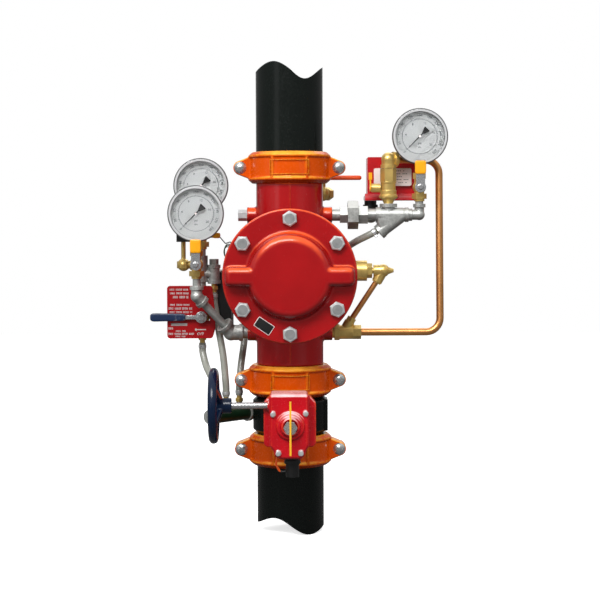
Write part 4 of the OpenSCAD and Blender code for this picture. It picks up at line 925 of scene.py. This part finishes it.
class RISER_OT_metal(RiserOperator, bpy.types.Operator):
    """Gives pipe, fittings, bolts and small pieces their finishes"""

    bl_idname = "riser.metal"
    bl_label = "Pipe and fittings"

    # Finish of the pieces that stay as they are, and of those that a smooth copy stands for
    kept = {
        "coupling_gaskets": "rubber", "cover_gasket": "rubber", "valve_seat": "bronze",
        "pivot_pins": "steel", "clapper": "bronze", "clapper_seal": "rubber",
        "latch_lever": "bronze", "pushrod": "brass", "butterfly_disc": "nickel_iron",
        "disc_stem": "steel",
    }
    copied = {
        "lower_pipe": "black_enamel", "upper_pipe": "upper_pipe_lit_enamel", "coupling_bolts": "zinc_bright",
        "pushrod_chamber": "brass", "port_plug": "zinc", "worm_shaft": "steel",
        "gauge_dials": "dial_white", "gauge_lenses": "gauge_glass", "gauge_valves": "brass",
        "supply_gauge_pipe": "galvanised", "release_pipe": "galvanised", "station_valve": "brass",
        "station_plate": "plate_red", "alarm_union": "galvanised",
        "strainer_body": "galvanised", "alarm_check_valve": "brass",
        "pressure_switch_cover": "switch_red", "copper_loop": "copper",
        "priming_fittings": "brass", "hose_barbs": "brass", "system_valve": "brass",
        "system_lever": "lever_red", "sign_plate": "black_plastic",
    }
    # Place of each cover bolt round the cover, and the turn of its head, in degrees
    bolts = ((90, 4), (35, 22), (-35, 9), (-90, 2), (-145, 24), (145, 27))
    # A bolt's shank, head, chamfer and raised mark: sides, ends and end radii, in millimetres
    bolt_stages = ((48, -13.0, 0.0, 7.5, 7.5), (6, -0.2, 8.6, 13.1, 13.1), (6, 8.6, 10.1, 13.1, 11.0),
                   (48, 10.0, 10.4, 8.6, 8.4))
    # Ends of the copper link's middle line, in millimetres
    link = (Vector((102, 0, 298.7)), Vector((152.8, 0, 375.0)))
    # Radii of the turns of spare lead, in millimetres
    coils = (8.5, 10.8, 13)
    # Height of the strap's end over the pivot of each upright gauge lever, in millimetres, and its
    # distance from the pivot of the two lying ones
    straps = {"supply_gauge_handle": 20, "alarm_gauge_handle": 22}
    release_strap = 20 * MM
    station_strap = 26.9 * MM
    # Distance from the release gauge's centre down to the solenoid's coil
    coil_drop = 98 * MM
    # Height of the galvanised neck under the pressure switch
    neck_height = 25.6 * MM
    # Distance from the middle of the switch's conduit to its bare wires
    wire_reach = 12 * MM
    # A point of the drain line, its way, and the stretches along it that are bare iron
    drain_start = Vector((-139.5, -17.5, 138)) * MM
    drain_way = Vector((1, 1, 0)).normalized()
    bare_iron = ((-math.inf, 0.6 * MM), (88 * MM, 94 * MM))
    # How far behind the gear cover's foremost point its plate lies, and how far from the spindle
    # the screws on it begin
    plate_depth = 13.6 * MM
    screw_reach = 25 * MM
    # Radius of the flag's steel hub, half the width of the painted bar across it, and depth of
    # the bare rear end
    hub_radius = 12 * MM
    hub_bar = 1.8 * MM
    hub_rear = 2 * MM

    def execute(self, context):
        for node, material in self.kept.items():
            NODES[node].data.materials.clear()
            NODES[node].data.materials.append(finish(material))
        for node, material in self.copied.items():
            smooth_copy(node, material)
        self.cover_bolts()
        self.strainer_web()
        self.copper_link()
        self.lead_coils()
        self.two_tone()
        self.levers()
        return {"FINISHED"}

    def cover_bolts(self):
        """Hexagon bolts with a chamfered head and a flat top in a darker zinc as painted shade, each
        turned as it was left.
        """
        made = bmesh.new()
        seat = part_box("cover_gasket")[0].y - COVER_THICKNESS
        for angle, left in self.bolts:
            turn = math.radians(angle)
            place = Matrix.Translation((BOLT_CIRCLE * math.cos(turn), seat,
                                        VALVE_HEIGHT + BOLT_CIRCLE * math.sin(turn))) @ TO_FRONT
            for sides, low, high, lower, upper in self.bolt_stages:
                add_rod(made, place @ at_mm(0, 0, (low + high) / 2) @ turned(left), high - low,
                        lower, upper, sides)
        # The flat tops of the heads take the darker zinc: painted shade
        top = seat - 10.3 * MM
        stand_for("cover_bolts", made, "zinc", [("zinc_shaded_top", lambda at, way: at.y < top)])

    def strainer_web(self):
        """The cast web that fills the corner between the strainer's run and its leg."""
        way = Vector((-38, 0, -33)).normalized()
        leg = Vector((187.5, 0, 482.7)) * MM + way * 37 * MM
        made = bmesh.new()
        add_rod(made, aim_at(Vector((173, 0, 482.7)) * MM, (1, 0, 0)), 46, 12.2)
        add_rod(made, aim_at(leg, way), 8, 11.8)
        bmesh.ops.delete(made, geom=list(made.edges), context="EDGES_FACES")
        bmesh.ops.convex_hull(made, input=list(made.verts))
        inside = [corner for corner in made.verts if not corner.link_faces]
        bmesh.ops.delete(made, geom=inside, context="VERTS")
        soften(add_piece("strainer_web", made, "galvanised", body_of("strainer_body")), 1 * MM, 4)

    def copper_link(self):
        """The short tube from the priming tee up into the elbow on the pushrod chamber."""
        low, high = self.link
        made = bmesh.new()
        add_rod(made, aim_at((low + high) / 2 * MM, high - low), (high - low).length, 4.76)
        stand_for("copper_link", made, "copper")

    def lead_coils(self):
        """Spare turns of the solenoid's lead, beside the cover."""
        made = bmesh.new()
        for step, radius in enumerate(self.coils):
            place = at_mm(-106 + step * 0.6, -26 + step * 3, 421) @ turned(52 + step * 6) @ TO_FRONT
            add_ring(made, (radius - 0.7) * MM, (radius + 0.7) * MM, -0.7 * MM, 0.7 * MM, place, 48)
        add_piece("lead_coils", made, "green_lead", body_of("solenoid_valve"))

    def two_tone(self):
        """Pieces that carry a second finish on part of their mesh."""
        # Faces of the cases that do not face front take a dark copy of the steel: painted shade
        smooth_copy("gauge_cases", "gauge_steel", [("case_side_shade", lambda at, way: way.y > -0.8)])
        coil = pivot("release_pointer_turn").z - self.coil_drop
        smooth_copy("solenoid_valve", "brass", [("black_plastic", lambda at, way: at.z > coil)])
        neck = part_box("pressure_switch_base")[0].z + self.neck_height
        smooth_copy("pressure_switch_base", "black_plastic",
                    [("galvanised", lambda at, way: at.z < neck)])
        wire_end = middle("switch_conduit").x - self.wire_reach
        smooth_copy("switch_conduit", "black_plastic",
                    [("orange_wire", lambda at, way: at.x < wire_end)])
        self.gear_front()
        smooth_copy("drain_line", "drain_enamel", [("galvanised", self.on_bare_iron)])

    def on_bare_iron(self, at, way):
        """Whether a face of the drain line is on its galvanised nipple or union."""
        along = (at - self.drain_start).dot(self.drain_way)
        return any(low < along < high for low, high in self.bare_iron)

    def gear_front(self):
        """The gear operator's cover with zinc screws, and the flag on its steel hub."""
        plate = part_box("gear_cover")[0].y + self.plate_depth
        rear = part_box("position_flag")[1].y - self.hub_rear
        spindle = pivot("disc_turn")

        def off_spindle(at):
            return math.hypot(at.x - spindle.x, at.z - spindle.z)

        cover = soften(smooth_copy("gear_cover", "gearbox_red"), 0.8 * MM, 2)
        paint_faces(cover, [
            ("zinc", lambda at, way: at.y < plate and off_spindle(at) > self.screw_reach)])
        smooth_copy("position_flag", "yellow_enamel", [
            ("steel", lambda at, way: off_spindle(at) < self.hub_radius
             and abs(at.x - spindle.x) > self.hub_bar or at.y > rear)])

    def levers(self):
        """Levers whose grips are dipped, on bare steel straps and hubs."""
        for node, strap in self.straps.items():
            self.grip(node, "yellow_plastic", Vector((0, 0, 1)),
                      pivot(node.replace("gauge_handle", "handle_turn")).z + strap * MM)
        self.grip("release_gauge_handle", "yellow_plastic", Vector((1, 0, 0)),
                  pivot("release_handle_turn").x + self.release_strap)
        self.grip("station_lever", "worn_blue", Vector((-1, 0, 0)),
                  self.station_strap - pivot("station_lever_turn").x)
        smooth_copy("test_cock_lever", "yellow_plastic")

    def grip(self, node, material, along, start):
        """A lever whose far end is dipped and rounded, from a distance along a direction."""
        lever = soften(smooth_copy(node, "steel"), 0.6 * MM, 1, 80, lambda at: at.dot(along) > start)
        paint_faces(lever, [(material, lambda at, way: at.dot(along) > start)])


class RISER_OT_dials(RiserOperator, bpy.types.Operator):
    """Prints the scales of the three gauges and makes their pointers"""

    bl_idname = "riser.dials"
    bl_label = "Dial scales"

    gauges = ("supply", "release", "alarm")
    # Where the scale starts and how far it runs, in degrees
    start = 225
    sweep = 270
    radius = 42.5 * MM
    thick = 0.16 * MM
    # Share of the outer scale that one step of the inner one takes
    inner_step = 1 / 20.7
    # Half outline of a pointer along its length, in millimetres: from the tip to the tail
    outline = ((29.2, 0.25), (4, 0.95), (-5.2, 1.1), (-16.5, 5.8), (-18.2, 5.6))

    def execute(self, context):
        scale = self.make_scale()
        for gauge in self.gauges:
            copy = scale.copy()
            centre = pivot(gauge + "_pointer_turn")
            move(copy, Matrix.Translation((centre.x, self.dial_front(centre), centre.z)))
            add_piece(gauge + "_dial_scale", copy, "dial_print", body_of("gauge_dials"))
            self.make_pointer(gauge + "_pointer", centre)
        scale.free()
        return {"FINISHED"}

    def make_scale(self):
        """Rings, ticks and figures about the origin, facing the camera."""
        scale = bmesh.new()
        for inner, outer in ((0.69, 0.704), (0.988, 1.012)):
            add_ring(scale, inner * self.radius, outer * self.radius, 0, self.thick, steps=96)
        for step in range(61):
            high, width = (0.755, 0.6) if step % 6 == 0 else (0.735, 0.3)
            self.add_tick(scale, step / 60, 0.7, high, width)
        for step in range(21):
            self.add_tick(scale, step * self.inner_step, 0.665, 0.695, 0.5 if step % 4 == 0 else 0.3)
        for step in range(11):
            self.add_words(scale, str(step * 30), self.turn_at(step / 10), 0.85, 6.0, True)
        for step in range(0, 21, 4):
            self.add_words(scale, str(step), self.turn_at(step * self.inner_step), 0.56, 5.4, False)
        for words, down, size in (("psi", 0.27, 5.2), ("kPa", 0.43, 3.6)):
            self.add_words(scale, words, turned(-90), down, size, False)
        move(scale, TO_FRONT)
        return scale

    def turn_at(self, share):
        return turned(self.start - share * self.sweep)

    def add_tick(self, made, share, low, high, width):
        """A tick between two shares of the radius, of a width in millimetres."""
        reach = (high - low) * self.radius
        place = self.turn_at(share) @ Matrix.Translation(
            ((low + high) / 2 * self.radius, 0, self.thick / 2))
        bmesh.ops.create_cube(made, size=1, matrix=place @ Matrix.Diagonal(
            (reach, width * MM, self.thick, 1)))

    def add_words(self, made, words, turn, share, size, tangent):
        """Words at a share of the radius, upright or along the ring."""
        place = Matrix.Translation(turn @ Vector((share * self.radius, 0, self.thick / 2)))
        if tangent:
            place = place @ turn @ turned(-90)
        add_text(made, words, size * MM, self.thick, place)

    def make_pointer(self, node, centre):
        """A thin needle with a three-cornered tail and a pale hub, at rest toward the stop."""
        made = bmesh.new()
        sides = [*self.outline, *((along, -half) for along, half in reversed(self.outline))]
        face = made.faces.new([made.verts.new((along * MM, half * MM, 0)) for along, half in sides])
        thicken(made, [face], 0.8 * MM)
        add_rod(made, at_mm(0, 0, 0.8), 1.2, 2.4, 1.9, 32)
        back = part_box(node)[0].y + 1.5 * MM
        move(made, Matrix.Translation((centre.x, back, centre.z)) @ TO_FRONT @ turned(self.start))
        hub = back - 0.85 * MM
        stand_for(node, made, "pointer_black", [("bare_label", lambda at, way: at.y < hub)])

    def dial_front(self, centre):
        """The front of the dial about this centre, found on the dials' own mesh."""
        reach = Vector((50, 30, 50)) * MM
        return min(corner.co.y for corner in NODES["gauge_dials"].data.vertices
                   if all(abs(off) < far for off, far in zip(corner.co - centre, reach)))


class RISER_OT_plates(RiserOperator, bpy.types.Operator):
    """Makes the bare nameplate, the labels and the print of the station's plate"""

    bl_idname = "riser.plates"
    bl_label = "Plates and labels"

    # Rows of print, from the plate's upper left corner: left, right, top, bottom, in millimetres
    lines = ((4.4, 36.6, 5.0, 8.2), (5.2, 38.0, 11.4, 14.6), (10.2, 36.6, 17.4, 21.6),
             (5.2, 41.2, 31.2, 34.4), (2.6, 44.5, 37.2, 41.2), (4.4, 43.7, 43.9, 47.0),
             (1.9, 13.0, 71.6, 75.6), (14.7, 33.7, 76.6, 79.6), (1.9, 46.6, 81.2, 84.8),
             (14.0, 32.6, 86.2, 88.6))
    worn_bar = (6.6, 34.5, 64.3, 69.2)
    arrow = (46.2, 67.0, 73.0, 78.6)
    # Middle of the word from the same corner, to the right and down, and its size
    off_at = (57.4, 83.4, 6.6)
    # Ends of each row of marks on the switch's label, and its middle, in millimetres
    mark_rows = ((4, 22), (3, 27), (3, 18), (8, 28), (5, 24))
    label_middle = (178.2, 26, 547.9)

    def execute(self, context):
        self.make_nameplate()
        self.print_station()
        self.make_switch_label()
        border = plate_frame(25.6 * MM, 106 * MM, 0.8 * MM, 0.3 * MM, 6)
        move(border, at_mm(-114, 54, 331.5) @ TO_FRONT)
        add_piece("sign_border", border, "dim_label", body_of("sign_plate"))
        return {"FINISHED"}

    def make_nameplate(self):
        """A small black plate with a pale border, between two bolts of the cover."""
        plate = rounded_plate(30.7 * MM, 17.9 * MM, 1.6 * MM, 0.5 * MM, border=0.9 * MM, lift=0.15 * MM)
        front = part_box("cover_gasket")[0].y - COVER_THICKNESS
        place = Matrix.Translation((-42.6 * MM, front, 301.1 * MM))
        move(plate, place @ TO_FRONT @ turned(-34))
        piece = add_piece("cover_nameplate", plate, "bare_label", "riser")
        piece.data.materials.append(finish("pointer_black"))

    def print_station(self):
        """Rows of strokes too small to read, an arrow with its word, and a worn bar."""
        low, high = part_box("station_plate")
        corner = Vector((low.x, low.y, high.z))
        strokes = bmesh.new()
        for left, right, top, bottom in self.lines:
            at = left
            count = 0
            while at + 1.4 <= right:
                wide = 0.8 + 0.5 * ((count * 7) % 3) / 2
                if count % 7 != 5:
                    self.add_stroke(strokes, corner, at, at + wide, top, bottom)
                at += wide + 0.75
                count += 1
        left, right, top, bottom = self.arrow
        height = (top + bottom) / 2
        self.add_stroke(strokes, corner, left + 4, right, height - 0.9, height + 0.9)
        head = rounded_plate(3.9 * MM, 3.9 * MM, 0.2 * MM, 0.3 * MM)
        move(head, Matrix.Translation(corner) @ at_mm(left + 3.4, 0, -height) @ TO_FRONT
             @ Matrix.Diagonal((0.9, 0.95, 1, 1)) @ turned(45))
        holder = bpy.data.meshes.new("head")
        head.to_mesh(holder)
        strokes.from_mesh(holder)
        bpy.data.meshes.remove(holder)
        head.free()
        right, down, size = self.off_at
        add_text(strokes, "OFF", size * MM, 0.3 * MM,
                 Matrix.Translation(corner) @ at_mm(right, -0.15, -down) @ TO_FRONT)
        add_piece("station_print", strokes, "plate_print", body_of("station_plate"))
        worn = bmesh.new()
        self.add_stroke(worn, corner, *self.worn_bar)
        add_piece("station_worn_bar", worn, "dim_label", body_of("station_plate"))

    def add_stroke(self, made, corner, left, right, top, bottom):
        centre = corner + Vector(((left + right) / 2, -0.12, -(top + bottom) / 2)) * MM
        add_block(made, ((right - left) * MM, 0.26 * MM, (bottom - top) * MM), Matrix.Translation(centre))

    def make_switch_label(self):
        """A bare label with faint marks too small to read."""
        across, front, height = self.label_middle
        label = rounded_plate(65 * MM, 30.5 * MM, 3.2 * MM, 0.35 * MM)
        move(label, at_mm(*self.label_middle) @ TO_FRONT)
        add_piece("switch_label", label, "bare_label", body_of("pressure_switch_cover"))
        marks = bmesh.new()
        for row, (left, right) in enumerate(self.mark_rows):
            for step in range(left, right, 3):
                if (step + row) % 4:
                    place = at_mm(across + step, front - 0.4, height + 10.6 - 5 * row)
                    add_block(marks, (2.0 * MM, 0.2 * MM, 1.5 * MM), place)
        add_piece("switch_label_marks", marks, "dial_print", body_of("pressure_switch_cover"))


class RISER_OT_clamps(RiserOperator, bpy.types.Operator):
    """Makes the small clamps that hold the hoses on their barbs"""

    bl_idname = "riser.clamps"
    bl_label = "Hose clamps"

    def execute(self, context):
        reach = sizes().hose_diameter / 2
        for hose, points in RISER_OT_hoses.routes.items():
            line = [Vector(point) * MM for point in points]
            for end, (first, second) in (("upper", line[:2]), ("lower", (line[-1], line[-2]))):
                way = (second - first).normalized()
                place = aim_at(first + way * 6 * MM, way)
                clamp = bmesh.new()
                add_ring(clamp, reach - 0.4 * MM, reach + 0.8 * MM, -2.6 * MM, 2.6 * MM, place, steps=40)
                ear = place @ turned(-60) @ Matrix.Translation((reach + 2.2 * MM, 0, 0))
                add_block(clamp, (3.6 * MM, 2.2 * MM, 4.4 * MM), ear)
                add_piece(f"{hose}_{end}_clamp", clamp, "zinc", body_of(hose))
        return {"FINISHED"}


class RISER_PT_panel(bpy.types.Panel):
    bl_idname = "RISER_PT_panel"
    bl_label = "Riser"
    bl_space_type = "VIEW_3D"
    bl_region_type = "UI"
    bl_category = "Riser"

    def draw(self, context):
        for operator in OPERATORS:
            self.layout.operator(operator.bl_idname)


OPERATORS = (RISER_OT_stage, RISER_OT_hoses, RISER_OT_castings, RISER_OT_metal,
             RISER_OT_dials, RISER_OT_plates, RISER_OT_clamps)
CLASSES = (RiserColours, RiserSizes, *OPERATORS, RISER_PT_panel)


def register():
    for each in CLASSES:
        bpy.utils.register_class(each)
    bpy.types.Scene.riser_colours = bpy.props.PointerProperty(type=RiserColours)
    bpy.types.Scene.riser_sizes = bpy.props.PointerProperty(type=RiserSizes)


def unregister():
    del bpy.types.Scene.riser_sizes
    del bpy.types.Scene.riser_colours
    for each in reversed(CLASSES):
        bpy.utils.unregister_class(each)


def main():
    register()
    bpy.ops.riser.stage()
    bpy.ops.riser.hoses()
    bpy.ops.riser.castings()
    bpy.ops.riser.metal()
    bpy.ops.riser.dials()
    bpy.ops.riser.plates()
    bpy.ops.riser.clamps()
    bpy.context.view_layer.update()


if __name__ == "__main__":
    main()
